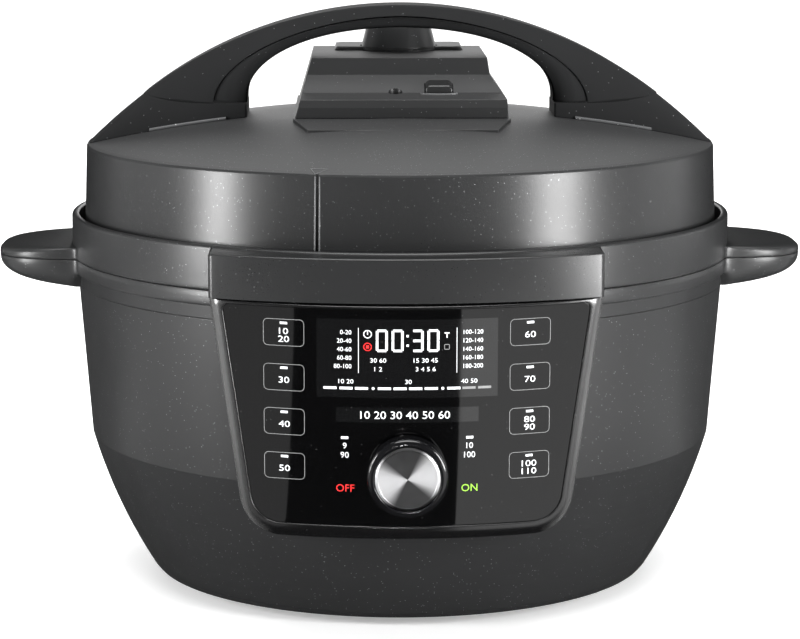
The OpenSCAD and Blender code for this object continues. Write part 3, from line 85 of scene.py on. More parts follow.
def arc(centre: tuple[float, float], radius: float, start: float, end: float,
        count: int) -> Array:
    """Points of a circular arc.

    Formula: centre + radius * (cos a, sin a), with a running evenly from start to end.

    Args:
        centre: first and second coordinate of the centre.
        radius: radius of the arc.
        start: first angle in degrees.
        end: last angle in degrees.
        count: number of points.

    Returns:
        An array of count points in two coordinates.
    """
    a = np.radians(np.linspace(start, end, count))
    return np.stack([centre[0] + radius * np.cos(a), centre[1] + radius * np.sin(a)], 1)


def joined(*parts: Array | Sequence[tuple[float, float]]) -> Array:
    """Runs of profile points put one after the other."""
    return np.concatenate([np.asarray(p, float).reshape(-1, 2) for p in parts])


def lathe(profile: Array, count: int = 256) -> Array:
    """Grid of a profile turned about Z.

    Formula: row i and column j are (r cos a, r sin a, z), with (r, z) the i-th profile point and
    a the j-th of count even angles.

    Args:
        profile: points as radius and height.
        count: number of columns round the axis.

    Returns:
        A grid of points, rows by columns by 3.
    """
    a = np.linspace(0, 2 * math.pi, count, endpoint=False)
    r, z = profile[:, :1], profile[:, 1:]
    return np.stack([r * np.cos(a), r * np.sin(a), z + 0 * a], 2)


def quarter(wide: float | Array, tall: float | Array, power: float | Array,
            count: int) -> tuple[Array, Array]:
    """Quarter of a superellipse, from (wide, 0) to (0, tall).

    Formula: (wide cos^(2/power) a, tall sin^(2/power) a), with a from 0 to 90 degrees down the
    rows. The sizes may be rows of numbers, which gives one column for each.

    Args:
        wide: half-width.
        tall: half-height.
        power: exponent; 2 is an ellipse and more is squarer.
        count: number of points.

    Returns:
        The first and second coordinates.
    """
    a = np.linspace(0.0, math.pi / 2, count)
    if np.ndim(wide) or np.ndim(tall) or np.ndim(power):
        a = a[:, None]
    c, s = np.clip(np.cos(a), 0.0, 1.0), np.clip(np.sin(a), 0.0, 1.0)
    return wide * c ** (2 / power), tall * s ** (2 / power)


def oval(wide: float, tall: float, power: float, count: int) -> Array:
    """Loop of a superellipse round the origin, from quarters of count points each."""
    u, v = quarter(wide, tall, power, count)
    return joined(np.stack([u, v], 1), np.stack([-u, v], 1)[-2::-1], np.stack([-u, -v], 1)[1:],
                  np.stack([u, -v], 1)[-2:0:-1])


def eased(points: Sequence[tuple[float, float]], radius: float | Sequence[float],
          count: int = 5) -> Array:
    """A line of straight runs with its inner corners rounded.

    Formula: each corner c gives way to (1 - t)^2 p + 2 t (1 - t) c + t^2 q, where p and q lie on
    the runs before and after it, at the corner's radius or at most 0.45 of the run.

    Args:
        points: the corners, with the two ends.
        radius: how far from the corner the rounding starts, one for all or one for each.
        count: points of a rounded corner.

    Returns:
        The points of the rounded line.
    """
    c = np.asarray(points, float)
    run = np.linalg.norm(np.diff(c, axis=0), axis=1, keepdims=True)
    step = np.diff(c, axis=0) / run
    r = np.broadcast_to(np.asarray(radius, float), (len(c) - 2,))[:, None]
    p = c[1:-1] - step[:-1] * np.minimum(r, 0.45 * run[:-1])
    q = c[1:-1] + step[1:] * np.minimum(r, 0.45 * run[1:])
    t = np.linspace(0, 1, count)[None, :, None]
    bends = (1 - t) ** 2 * p[:, None] + 2 * t * (1 - t) * c[1:-1, None] + t**2 * q[:, None]
    return joined(c[:1], bends.reshape(-1, 2), c[-1:])


def smooth_step(x: Array) -> Array:
    """0 under 0, 1 over 1, and 3 x^2 - 2 x^3 between them."""
    x = np.clip(x, 0.0, 1.0)
    return x * x * (3 - 2 * x)


def spaced(line: Array, count: int) -> Array:
    """Points evenly spaced along a line of straight runs, by interpolation over its length."""
    along = np.concatenate([[0.0], np.cumsum(np.linalg.norm(np.diff(line, axis=0), axis=1))])
    at = np.linspace(0.0, along[-1], count)
    return np.stack([np.interp(at, along, line[:, k]) for k in (0, 1)], 1)


def levels(loops: Sequence[tuple[Array, float]]) -> Array:
    """Block in metres of level loops in millimetres, each given with its height."""
    return np.stack([np.column_stack([p, np.full(len(p), z)]) for p, z in loops]) * MM


def dome(x: Array, y: Array | float = 0.0) -> Array:
    """Height in millimetres of the lid's dome, the cap of a sphere, over a place."""
    return DOME_TOP - DOME_R + np.sqrt(DOME_R**2 - x**2 - y**2)


@dataclass
class Form:
    """Grids and flat faces that together make one piece's mesh.

    Args:
        points: blocks of points collected so far.
        faces: blocks of faces collected so far, as lists of point numbers.
        count: number of points so far.
    """

    points: list[Array] = field(default_factory=list)
    faces: list[list[list[int]]] = field(default_factory=list)
    count: int = 0

    def grid(self, block: Array, rows: bool = False, columns: bool = False) -> "Form":
        """Adds a grid of points as quads.

        Formula: cell (i, j) has the corners (i, j), (i, j + 1), (i + 1, j + 1) and (i + 1, j),
        with the numbers wrapping round along a closed direction.

        Args:
            block: rows by columns by 3.
            rows: whether the last row joins the first.
            columns: whether the last column joins the first.

        Returns:
            The form itself.
        """
        m, n = block.shape[:2]
        i, j = np.meshgrid(np.arange(m - (not rows)), np.arange(n - (not columns)), indexing="ij")
        i, j, k, l = i.ravel(), j.ravel(), (i.ravel() + 1) % m, (j.ravel() + 1) % n
        quads = self.count + np.stack([i * n + j, i * n + l, k * n + l, k * n + j], 1)
        self.points.append(block.reshape(-1, 3))
        self.faces.append(quads.tolist())
        self.count += m * n
        return self

    def ngons(self, loops: Array) -> "Form":
        """Adds flat faces, one for each row of corner points.

        Args:
            loops: faces by corners by 3.

        Returns:
            The form itself.
        """
        m, n = loops.shape[:2]
        self.points.append(loops.reshape(-1, 3))
        self.faces.append((self.count + np.arange(m * n).reshape(m, n)).tolist())
        self.count += m * n
        return self

    def rod(self, block: Array) -> "Form":
        """Adds a closed section carried along the rows, with a flat face at each end."""
        return self.grid(block, columns=True).ngons(block[:1]).ngons(block[-1:, ::-1])

    def mesh(self, name: str, weld: bool = True, outward: bool = True) -> bpy.types.Mesh:
        """Makes the mesh, with its doubles merged and its faces pointing outwards.

        Args:
            name: name of the mesh.
            weld: whether points at the same place become one.
            outward: whether the faces of a closed shell are turned outwards.

        Returns:
            The new mesh.
        """
        data = bpy.data.meshes.new(name)
        data.from_pydata(np.concatenate(self.points), [], [f for b in self.faces for f in b])
        work = bmesh.new()
        work.from_mesh(data)
        if weld:
            bmesh.ops.remove_doubles(work, verts=work.verts, dist=1e-6)
            bmesh.ops.dissolve_degenerate(work, dist=1e-7, edges=work.edges)
        if outward:
            bmesh.ops.recalc_face_normals(work, faces=work.faces)
        work.to_mesh(data)
        work.free()
        return data


def placed(data: bpy.types.ID) -> bpy.types.Object:
    """A new object in the scene, with its data's name."""
    made = bpy.data.objects.new(data.name, data)
    bpy.context.scene.collection.objects.link(made)
    return made


def keep(data: bpy.types.Mesh, body: str, crease: float = 30.0) -> bpy.types.Object:
    """Shows a mesh as a piece that rides on a body.

    Args:
        data: the finished mesh, in the CAD's frame.
        body: CAD body that carries the piece.
        crease: angle in degrees above which an edge stays sharp.

    Returns:
        The new object.
    """
    data.polygons.foreach_set("use_smooth", np.ones(len(data.polygons), bool))
    data.set_sharp_from_angle(angle=math.radians(crease))
    piece = placed(data)
    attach(piece, body)
    LOG.info("piece %s: %d faces on body %s", data.name, len(data.polygons), body)
    return piece


# ---- Shader arithmetic ------------------------------------------------------------------


def operation(kind: str) -> Callable[..., "Value"]:
    """A method that gives the result of one Math node of a kind."""

    def method(self: "Value", *others: "Value | float") -> "Value":
        """The result of the Math node."""
        inputs = dict(enumerate((self, *others)))
        return self.paint.node("ShaderNodeMath", {"operation": kind}, inputs)

    return method


class Value:
    """A number that varies over a surface; Python arithmetic on it adds Math nodes."""

    def __init__(self, paint: "Paint", socket: bpy.types.NodeSocket) -> None:
        """Keeps the paint that the number belongs to and the socket that gives it."""
        self.paint, self.socket = paint, socket

    __add__ = __radd__ = operation("ADD")
    __sub__, __mul__ = operation("SUBTRACT"), operation("MULTIPLY")
    __truediv__, __pow__ = operation("DIVIDE"), operation("POWER")
    above, below, sine = operation("GREATER_THAN"), operation("LESS_THAN"), operation("SINE")

    def __rsub__(self, other: float) -> "Value":
        """Difference with the number first."""
        return (self * -1.0) + other

    def ramp(self, low: float, high: float) -> "Value":
        """0 at low and under it, 1 at high and over it, and straight between them."""
        sockets = {"Value": self, "From Min": low, "From Max": high}
        return self.paint.node("ShaderNodeMapRange", {"clamp": True}, sockets, "Result")


class Paint:
    """One procedural material and the nodes that make it."""

    def __init__(self, name: str) -> None:
        """Starts a material with a Principled shader and its Object coordinates."""
        self.material = bpy.data.materials.new(name)
        self.material.use_nodes = True
        self.tree = self.material.node_tree
        self.shader = self.tree.nodes["Principled BSDF"]
        self.place = self.node("ShaderNodeTexCoord", out="Object")

    def node(self, kind: str, settings: dict | None = None, sockets: dict | None = None,
             out: str | int = 0) -> Value:
        """Adds a node.

        Args:
            kind: the node's type.
            settings: what is set on the node first.
            sockets: values or links by socket name or number.
            out: the output that is given back.

        Returns:
            The chosen output as a value.
        """
        made = self.tree.nodes.new(kind)
        for key, value in (settings or {}).items():
            setattr(made, key, value)
        for key, value in (sockets or {}).items():
            self.feed(made.inputs[key], value)
        return Value(self, made.outputs[out])

    def feed(self, socket: bpy.types.NodeSocket, value: object) -> None:
        """Links a value to a socket, or sets the socket to a constant."""
        if isinstance(value, Value):
            self.tree.links.new(value.socket, socket)
        elif isinstance(value, tuple) and len(value) == 3 and socket.type == "RGBA":
            socket.default_value = (*value, 1.0)
        else:
            socket.default_value = value

    def set(self, **sockets: object) -> "Paint":
        """Feeds the shader's sockets; an underscore in a name stands for a space."""
        for key, value in sockets.items():
            self.feed(self.shader.inputs[key.replace("_", " ")], value)
        return self

    def noise(self, scale: float, detail: float = 2.0, place: Value | None = None) -> Value:
        """Smooth noise round 0.5 at the given scale per metre."""
        sockets = {"Vector": place or self.place, "Scale": scale, "Detail": detail}
        return self.node("ShaderNodeTexNoise", {}, sockets, "Fac")

    def cells(self, scale: float, out: str = "Distance") -> Value:
        """Distance to, or random colour of, the nearest of scattered points."""
        return self.node("ShaderNodeTexVoronoi", {}, {"Vector": self.place, "Scale": scale}, out)

    def axis(self, letter: str, place: Value | None = None) -> Value:
        """One coordinate of a place."""
        return self.node("ShaderNodeSeparateXYZ", {}, {0: place or self.place}, letter)

    def stretched(self, scale: tuple[float, float, float]) -> Value:
        """Object coordinates scaled by a Mapping node."""
        return self.node("ShaderNodeMapping", {}, {"Vector": self.place, "Scale": scale})

    def mix(self, factor: Value | float, first: object, second: object) -> Value:
        """Colour between two colours."""
        sockets = {0: factor, 6: first, 7: second}
        return self.node("ShaderNodeMix", {"data_type": "RGBA"}, sockets, 2)

    def tone(self, factor: Value, colour: Colour, low: float, high: float) -> Value:
        """Shade of one colour, from its low factor to its high one."""
        return self.mix(factor, shade(colour, low), shade(colour, high))

    def bump(self, height: Value, depth: float, edge: float = 0.5 * MM) -> Value:
        """Normal of a height over edges that catch light as if rounded.

        Args:
            height: the height, 0 to 1.
            depth: depth in metres for a height of 1.
            edge: radius of the rounded edges in metres, or 0.

        Returns:
            The normal.
        """
        sockets = {"Height": height, "Distance": depth}
        if edge:
            bevel = self.node("ShaderNodeBevel", {"samples": 4}, {"Radius": edge}, "Normal")
            sockets["Normal"] = bevel
        return self.node("ShaderNodeBump", {}, sockets)


def shade(colour: Colour, factor: float) -> Colour:
    """The colour made lighter or darker by a factor, no lighter than white."""
    return tuple(min(1.0, c * factor) for c in colour)


# ---- Finishes ---------------------------------------------------------------------------


@dataclass(frozen=True)
class Finish:
    """A look that can be given to a piece.

    Args:
        name: name of the material.
    """

    name: str

    def paint(self) -> bpy.types.Material:
        """Makes the material."""
        p = Paint(self.name)
        self.cover(p)
        return p.material

    def cover(self, p: Paint) -> None:
        """Feeds the shader, which each finish does in its own way."""
        raise NotImplementedError


@dataclass(frozen=True)
class Flecked(Finish):
    """Moulded plastic with fine metallic flecks, and painted light or shade on its upward faces.

    Args:
        colour: main colour.
        rough: roughness of the surface.
        flecks: share of the cells that hold a fleck.
        pitch: distance between cells in metres.
        glint: how much lighter a fleck is.
        grain: depth of the moulded grain in metres.
        gloss: specular level.
        crown: painted light that makes the upward faces lighter and duller; below 0 it paints shade
            there.
    """

    colour: Colour
    rough: float = 0.36
    flecks: float = 0.024
    pitch: float = 0.62 * MM
    glint: float = 13.0
    grain: float = 0.012 * MM
    gloss: float = 0.4
    crown: float = 0.0

    def cover(self, p: Paint) -> None:
        """Feeds the shader."""
        chance = p.axis("X", p.cells(1 / self.pitch, "Color"))
        fleck = chance.above(1 - self.flecks) * p.cells(1 / self.pitch).below(0.36)
        cloud = p.noise(22.0, 3.0)
        fine = p.noise(1600.0, 1.0)
        base = p.tone(cloud, self.colour, 0.9, 1.12)
        rough = self.rough + (cloud - 0.5) * 0.06 + (fine - 0.5) * 0.1 - fleck * 0.08
        # Painted light: upward faces get a lighter colour, or a darker one (painted shade) below 0.
        if self.crown:
            up = p.axis("Z", p.node("ShaderNodeTexCoord", out="Normal")).ramp(0.4, 0.95)
            high = p.tone(cloud, self.colour, 1 + self.crown, 1.1 + self.crown)
            base = p.mix(up, base, high)
            rough = rough + up * 0.2
        base = p.mix(fleck, base, shade(self.colour, self.glint))
        p.set(Base_Color=base, Metallic=fleck * 0.5, Roughness=rough,
              Normal=p.bump(fine + fleck * 0.8, self.grain), Specular_IOR_Level=self.gloss)


@dataclass(frozen=True)
class Grained(Finish):
    """Moulded plastic or rubber with a fine even grain and faint handling marks.

    Args:
        colour: main colour.
        rough: roughness of the surface.
        grain: depth of the grain in metres.
        pitch: distance between grains in metres.
        sheen: weight of the soft sheen of rubber.
        clear: share of light that passes through.
    """

    colour: Colour
    rough: float = 0.55
    grain: float = 0.03 * MM
    pitch: float = 0.5 * MM
    sheen: float = 0.0
    clear: float = 0.0

    def cover(self, p: Paint) -> None:
        """Feeds the shader."""
        grain = p.noise(1 / self.pitch, 2.0)
        marks = p.noise(60.0, 4.0, p.stretched((1.0, 1.0, 3.0)))
        p.set(Base_Color=p.tone(marks, self.colour, 0.85, 1.18),
              Roughness=self.rough + (marks - 0.5) * 0.16 + (grain - 0.5) * 0.08,
              Normal=p.bump(grain, self.grain), Sheen_Weight=self.sheen, Sheen_Roughness=0.4,
              Transmission_Weight=self.clear, IOR=1.49)


@dataclass(frozen=True)
class Polished(Finish):
    """Polished plastic or glass with faint haze, and an optional painted highlight on sideways
    faces.

    Args:
        colour: main colour.
        rough: roughness of the surface.
        haze: how much the roughness varies.
        gloss: specular level; 0.5 is plain glass.
        side: grey painted on the faces that look sideways as a painted highlight, or 0.
    """

    colour: Colour
    rough: float = 0.06
    haze: float = 0.04
    gloss: float = 0.5
    side: float = 0.0

    def cover(self, p: Paint) -> None:
        """Feeds the shader."""
        haze = p.noise(34.0, 4.0)
        dust = p.cells(420.0).below(0.09) * p.axis("X", p.cells(420.0, "Color")).above(0.8)
        base = p.tone(haze, self.colour, 0.8, 1.2)
        # Painted highlight: faces that look sideways get the lighter side grey.
        if self.side:
            turned = p.axis("X", p.node("ShaderNodeTexCoord", out="Normal"))
            base = p.mix((turned * turned).ramp(0.1, 0.45), base, (self.side, self.side, self.side))
        p.set(Base_Color=p.mix(dust, base, (0.05, 0.05, 0.05)),
              Roughness=self.rough + haze * self.haze + dust * 0.2,
              Specular_IOR_Level=self.gloss, Normal=p.bump(p.noise(9.0, 1.0), 0.02 * MM))


class Lay(Enum):
    """How the fine lines of a worked metal run."""

    ROUND_Z = "turned about the pot's axis"
    ALONG_Z = "drawn upwards"
    ALONG_X = "brushed across"
    NONE = "no direction"


@dataclass(frozen=True)
class Metal(Finish):
    """Bare metal with fine worked lines, stains and small scratches.

    Args:
        colour: main colour.
        rough: roughness of the surface.
        lay: direction of the worked lines.
        pitch: distance between lines in metres.
        depth: depth of the lines in metres.
        stain: how strongly stains change the colour.
    """

    colour: Colour
    rough: float = 0.3
    lay: Lay = Lay.NONE
    pitch: float = 0.35 * MM
    depth: float = 0.01 * MM
    stain: float = 0.15

    def cover(self, p: Paint) -> None:
        """Feeds the shader."""
        if self.lay is Lay.ROUND_Z:
            radius = (p.axis("X") ** 2.0 + p.axis("Y") ** 2.0) ** 0.5
            flat = p.node("ShaderNodeCombineXYZ", {}, {"X": radius, "Y": p.axis("Z")})
            lines = p.noise(1 / self.pitch, 2.0, flat)
        else:
            scales = {Lay.ALONG_Z: (1.0, 1.0, 0.02), Lay.ALONG_X: (0.02, 1.0, 1.0),
                      Lay.NONE: (1.0, 1.0, 1.0)}
            lines = p.noise(1 / self.pitch, 2.0, p.stretched(scales[self.lay]))
        stain = p.noise(30.0, 4.0)
        p.set(Base_Color=p.tone(stain, self.colour, 1 - self.stain, 1 + self.stain / 2),
              Metallic=1.0, Roughness=self.rough + (lines - 0.5) * 0.16 + (stain - 0.5) * 0.1,
              Normal=p.bump(lines, self.depth))


@dataclass(frozen=True)
class Grooved(Finish):
    """Bare metal face turned on a lathe, with rings about its own axis and painted highlight fans.

    Args:
        centre: a point of the axis.
        lean: tilt of the axis below level, in degrees, for an axis that looks to -Y.
        colour: main colour.
        pitch: distance between rings in metres.
        depth: depth of the rings in metres.
        sector: direction of the painted highlight, two opposite lighter fans, in degrees.
    """

    centre: tuple[float, float, float]
    lean: float
    colour: Colour = (0.62, 0.62, 0.63)
    pitch: float = 0.16 * MM
    depth: float = 0.014 * MM
    sector: float = 12.0

    def cover(self, p: Paint) -> None:
        """Feeds the shader."""
        back = tuple(-c for c in self.centre)
        place = p.node("ShaderNodeVectorMath", {"operation": "ADD"}, {0: p.place, 1: back})
        c, s = math.cos(math.radians(self.lean)), math.sin(math.radians(self.lean))
        up = p.axis("Z", place) * c - p.axis("Y", place) * s
        radius = (p.axis("X", place) ** 2.0 + up ** 2.0) ** 0.5
        ring = (radius * (2 * math.pi / self.pitch)).sine()
        wear = p.noise(1 / self.pitch, 1.0, p.node("ShaderNodeCombineXYZ", {}, {"X": radius}))
        stain = p.noise(120.0, 2.0)
        # Painted highlight: two opposite fans of the face are lighter and less metallic, standing
        # in for reflections.
        x = p.axis("X", place)
        twice = 2 * math.radians(self.sector)
        waves = (x * x - up * up) * math.cos(twice) + x * up * (2 * math.sin(twice))
        painted_highlight = waves / (radius * radius + 1e-9)
        base = p.tone(painted_highlight.ramp(-0.3, 0.5), self.colour, 0.09, 0.95)
        p.set(Base_Color=p.mix(stain * 0.15, base, shade(self.colour, 0.5)),
              Metallic=1.0 - painted_highlight.ramp(0.0, 0.9) * 0.35, Roughness=0.36 + wear * 0.08,
              Normal=p.bump(ring * 0.5 + wear, self.depth, 0.0))


@dataclass(frozen=True)
class Board(Finish):
    """Circuit board with tracks under its solder mask.

    Args:
        mask: colour of the solder mask.
    """

    mask: Colour = (0.02, 0.09, 0.045)

    def cover(self, p: Paint) -> None:
        """Feeds the shader."""
        track = p.cells(160.0).ramp(0.28, 0.3)
        pad = p.cells(310.0).below(0.12)
        base = p.mix(track, shade(self.mask, 1.5), self.mask)
        p.set(Base_Color=p.mix(pad, base, (0.75, 0.74, 0.7)), Metallic=pad,
              Roughness=0.34 + pad * 0.1, Normal=p.bump(1 - track, 0.035 * MM))


@dataclass(frozen=True)
class Lit(Finish):
    """Print or light that is seen through the panel's glass.

    Args:
        colour: colour of the print.
        glow: strength of its light.
    """

    colour: Colour
    glow: float = 0.6

    def cover(self, p: Paint) -> None:
        """Feeds the shader."""
        ink = p.noise(900.0, 2.0)
        shown = p.tone(ink, self.colour, 0.86, 1.04)
        p.set(Base_Color=shown, Roughness=0.25 + ink * 0.1, Emission_Color=shown,
              Emission_Strength=self.glow)


# ---- Studio -----------------------------------------------------------------------------


@dataclass
class Softbox:
    """A flat soft light that looks at the object's axis.

    Args:
        name: name of the light.
        azimuth: degrees from the front, to the right.
        elevation: degrees above the axis point it looks at.
        distance: distance from that point in metres.
        width: width in metres.
        height: height in metres.
        power: power in watts.
    """

    name: str
    azimuth: float
    elevation: float
    distance: float
    width: float
    height: float
    power: float

    def hang(self, target: Array) -> None:
        """Makes the light and turns it to the target."""
        a, e = math.radians(self.azimuth), math.radians(self.elevation)
        away = np.array([math.sin(a) * math.cos(e), -math.cos(a) * math.cos(e), math.sin(e)])
        data = bpy.data.lights.new(self.name, "AREA")
        data.shape, data.size, data.size_y = "RECTANGLE", self.width, self.height
        data.energy = self.power
        lamp = placed(data)
        lamp.location = target + self.distance * away
        lamp.rotation_euler = (math.radians(90 - self.elevation), 0.0, a)
        lamp.visible_camera = False


@dataclass
class Card:
    """A flat card that only polished surfaces mirror.

    Args:
        name: name of the card.
        corners: its corners on the floor, in metres; with two of them it stands on end.
        rise: height over the floor in metres.
        level: brightness that is mirrored.
        top: height of the upper edge of a card on end, which also holds light back.
    """

    name: str
    corners: tuple[tuple[float, float], ...]
    rise: float
    level: float
    top: float = 0.0

    def lay(self) -> None:
        """Makes the card, unseen but for reflections."""
        flat = np.array([(x, y, self.rise) for x, y in self.corners])
        if self.top:
            flat = np.concatenate([flat, flat[::-1] + (0.0, 0.0, self.top - self.rise)])
        sheet = Form().ngons(flat[None]).mesh(self.name, outward=False)
        card = placed(sheet)
        for way in ("camera", "diffuse", "transmission", "volume_scatter", "shadow"):
            setattr(card, f"visible_{way}", way == "shadow" and self.top > 0.0)
        p = Paint(self.name)
        p.set(Base_Color=(0.0, 0.0, 0.0), Roughness=1.0, Specular_IOR_Level=0.0,
              Emission_Color=(1.0, 1.0, 1.0), Emission_Strength=self.level)
        p.material.cycles.emission_sampling = "NONE"
        sheet.materials.append(p.material)


@dataclass
class Studio:
    """Pale floor, pale soft light and the camera.

    Args:
        reach: level distance of the camera from the pot's axis.
        height: height of the camera over the counter.
        pitch: downward tilt of the camera in degrees.
        azimuth: direction of the camera from the front, in degrees to the right.
        lens: focal length for a sensor 36 mm wide.
        sky: brightness of the surroundings as the camera sees them.
        ambient: brightness of the surroundings as light.
        overhead: strength of the even light from above.
    """

    reach: float = 1.46975
    height: float = 0.38103
    pitch: float = 9.58
    azimuth: float = -1.08
    lens: float = 125.22
    sky: float = 1.0
    ambient: float = 0.12
    overhead: float = 3.7

    def camera(self) -> None:
        """Makes the camera and hands it to the scene."""
        a = math.radians(self.azimuth)
        data = bpy.data.cameras.new("camera")
        data.lens, data.sensor_width = self.lens, 36.0
        data.clip_start, data.clip_end = 0.05, 60.0
        eye = placed(data)
        eye.location = (self.reach * math.sin(a), -self.reach * math.cos(a), self.height)
        eye.rotation_euler = (math.radians(90 - self.pitch), 0.0, a)
        bpy.context.scene.camera = eye

    def floor(self) -> None:
        """Makes the pale floor as one large sheet at the counter's height."""
        side = np.linspace(-14.0, 14.0, 9)
        x, y = np.meshgrid(side, side, indexing="ij")
        sheet = Form().grid(np.stack([x, y, 0 * x], 2)).mesh("floor", outward=False)
        sheet.flip_normals()
        floor = placed(sheet)
        p = Paint("floor_pale")
        p.set(Base_Color=(0.95, 0.95, 0.95), Roughness=0.75,
              Emission_Color=(1.0, 1.0, 1.0), Emission_Strength=0.3)
        sheet.materials.append(p.material)

    def cards(self) -> None:
        """Lays a dark card under all, light ones before and beside, and two on end behind."""
        for card in (
            Card("card_dark", ((-5.0, -5.0), (5.0, -5.0), (5.0, 5.0), (-5.0, 5.0)),
                 0.3 * MM, 0.05),
            Card("card_left", ((-0.126, -0.28), (-0.663, -1.40), (-1.35, -1.05), (-0.22, -0.24)),
                 0.8 * MM, 0.66),
            Card("card_right", ((0.045, -0.28), (0.375, -1.46), (1.35, -1.05), (0.22, -0.24)),
                 0.8 * MM, 1.3),
            Card("flag_left", ((-0.45, 0.24), (-0.188, 0.24)), 0.13, 0.0, 0.62),
            Card("flag_right", ((0.188, 0.24), (0.45, 0.24)), 0.13, 0.0, 0.62),
            Card("card_far_left", ((-0.34, -0.36), (-1.5, -0.9), (-1.5, 0.3), (-0.34, 0.1)),
                 1.2 * MM, 0.8),
            Card("card_far_right", ((0.34, -0.36), (1.5, -0.9), (1.5, 0.3), (0.34, 0.1)),
                 1.2 * MM, 0.9),
        ):
            card.lay()

    def lights(self, target: Array) -> None:
        """Makes the surroundings, an even light from above, a spot on the dial and softboxes.

        The surroundings look white, and shine on the object with their ambient strength only.
        """
        world = bpy.data.worlds.new("surroundings")
        bpy.context.scene.world = world
        world.use_nodes = True
        tree = world.node_tree
        back, path = tree.nodes["Background"], tree.nodes.new("ShaderNodeLightPath")
        level = tree.nodes.new("ShaderNodeMapRange")
        level.inputs["To Min"].default_value = self.ambient
        level.inputs["To Max"].default_value = self.sky
        tree.links.new(path.outputs["Is Camera Ray"], level.inputs["Value"])
        tree.links.new(level.outputs["Result"], back.inputs["Strength"])
        back.inputs["Color"].default_value = (1.0, 1.0, 1.0, 1.0)
        data = bpy.data.lights.new("overhead", "SUN")
        data.energy, data.angle = self.overhead, math.radians(46.0)
        sun = placed(data)
        sun.rotation_euler = (math.radians(8.0), 0.0, 0.0)
        data = bpy.data.lights.new("snoot", "SPOT")
        data.energy, data.spot_size = 11.0, math.radians(2.7)
        data.spot_blend, data.shadow_soft_size = 0.25, 0.03
        snoot = placed(data)
        low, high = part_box("dial_cap")
        aim = Vector((0.0, low.y, (low.z + high.z) / 2))
        snoot.location = (-0.03, -1.15, 0.05)
        snoot.rotation_euler = (aim - snoot.location).to_track_quat("-Z", "Y").to_euler()
        snoot.visible_camera = False
        for box in (
            Softbox("key_left", -63.0, 7.0, 1.0, 0.14, 0.5, 10.5),
            Softbox("key_right", 52.0, 7.0, 1.0, 0.26, 0.5, 13.0),
            Softbox("side_left", -105.0, 6.0, 1.6, 0.9, 1.0, 1.6),
            Softbox("side_right", 103.0, 6.0, 1.6, 0.9, 1.0, 3.5),
            Softbox("back", 180.0, 30.0, 2.2, 3.8, 2.3, 44.0),
        ):
            box.hang(target)

    def build(self) -> None:
        """Sets up the whole studio round the CAD box."""
        low, high = (np.array(v) for v in CAD_BOX)
        self.camera()
        self.floor()
        self.cards()
        self.lights((low + high) / 2)
        view = bpy.context.scene.view_settings
        view.view_transform, view.look, view.exposure, view.gamma = "Standard", "None", 0.0, 1.0


# ---- Control panel ----------------------------------------------------------------------


@dataclass
class PanelPlace:
    """Places on the leaning, curved control panel.

    Args:
        curve: plan radius of the panel's front.
        lean: backward lean towards the bottom, in degrees.
        sink: depth of the glass behind the frame's front.
        half_width: half of the frame's width at its top, in millimetres.
        height: height of the frame, in millimetres.
        taper: how much the sides close in downwards, in millimetres.
        corner: radius of the frame's lower corners, in millimetres.
    """

    curve: float = 235.0 * MM
    lean: float = 3.0
    sink: float = 0.8 * MM
    half_width: float = 94.0
    height: float = 115.5
    taper: float = 16.3
    corner: float = 20.0

    def __post_init__(self) -> None:
        """Finds the top of the panel's front from the band above it."""
        low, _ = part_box("front_band")
        self.front, self.top = low.y, low.z - 0.3 * MM

    def at(self, x: Array, z: Array, depth: Array | float) -> Array:
        """Points on or behind the panel's front.

        Formula: the front stands curve - sqrt(curve^2 - x^2) back from the middle; depth is
        added to that, and the whole leans by a turn about the top front edge.

        Args:
            x: distance to the right of the middle.
            z: height above the top edge, negative downwards.
            depth: distance behind the front.

        Returns:
            Points in the CAD's frame.
        """
        y = self.curve - np.sqrt(self.curve**2 - x**2) + depth
        c, s = math.cos(math.radians(self.lean)), math.sin(math.radians(self.lean))
        return np.stack([x + 0 * y, self.front + y * c - z * s, self.top + y * s + z * c], -1)

    def outline(self, inset: float, low: float, top: float, bend: float) -> Array:
        """Loop of the frame's outline, drawn in from its edges.

        Formula: level top, level bottom and two sides that close in downwards by the taper, with
        an arc of the bend's radius in the upper corners and a larger one in the lower corners.
        The right half is worked out and mirrored.

        Args:
            inset: distance in from the sides, in millimetres.
            low: distance in from the bottom.
            top: distance in from the top.
            bend: radius of the upper corners.

        Returns:
            Points across and upwards in millimetres, going round once.
        """
        lean = math.atan(self.taper / self.height)
        r, edge = max(self.corner - inset, 4.0), self.half_width - inset
        high, base = -top - bend, low - self.height + r
        a = edge - (bend - high * math.sin(lean)) / math.cos(lean)
        b = edge - (r - base * math.sin(lean)) / math.cos(lean)
        turn = -math.degrees(lean)
        upper, lower = arc((a, high), bend, 90, turn, 6), arc((b, base), r, turn, -90, 16)
        right = joined(np.linspace((0.0, -top), upper[0], 18)[:-1], upper,
                       np.linspace(upper[-1], lower[0], 16)[1:-1], lower,
                       np.linspace(lower[-1], (0.0, low - self.height), 18)[1:])
        return joined(right, right[::-1] * (-1.0, 1.0))

    def on(self, flat: Array, depth: Array | float) -> Array:
        """Points for flat places and depths in millimetres."""
        return self.at(flat[..., 0] * MM, flat[..., 1] * MM, depth * MM)


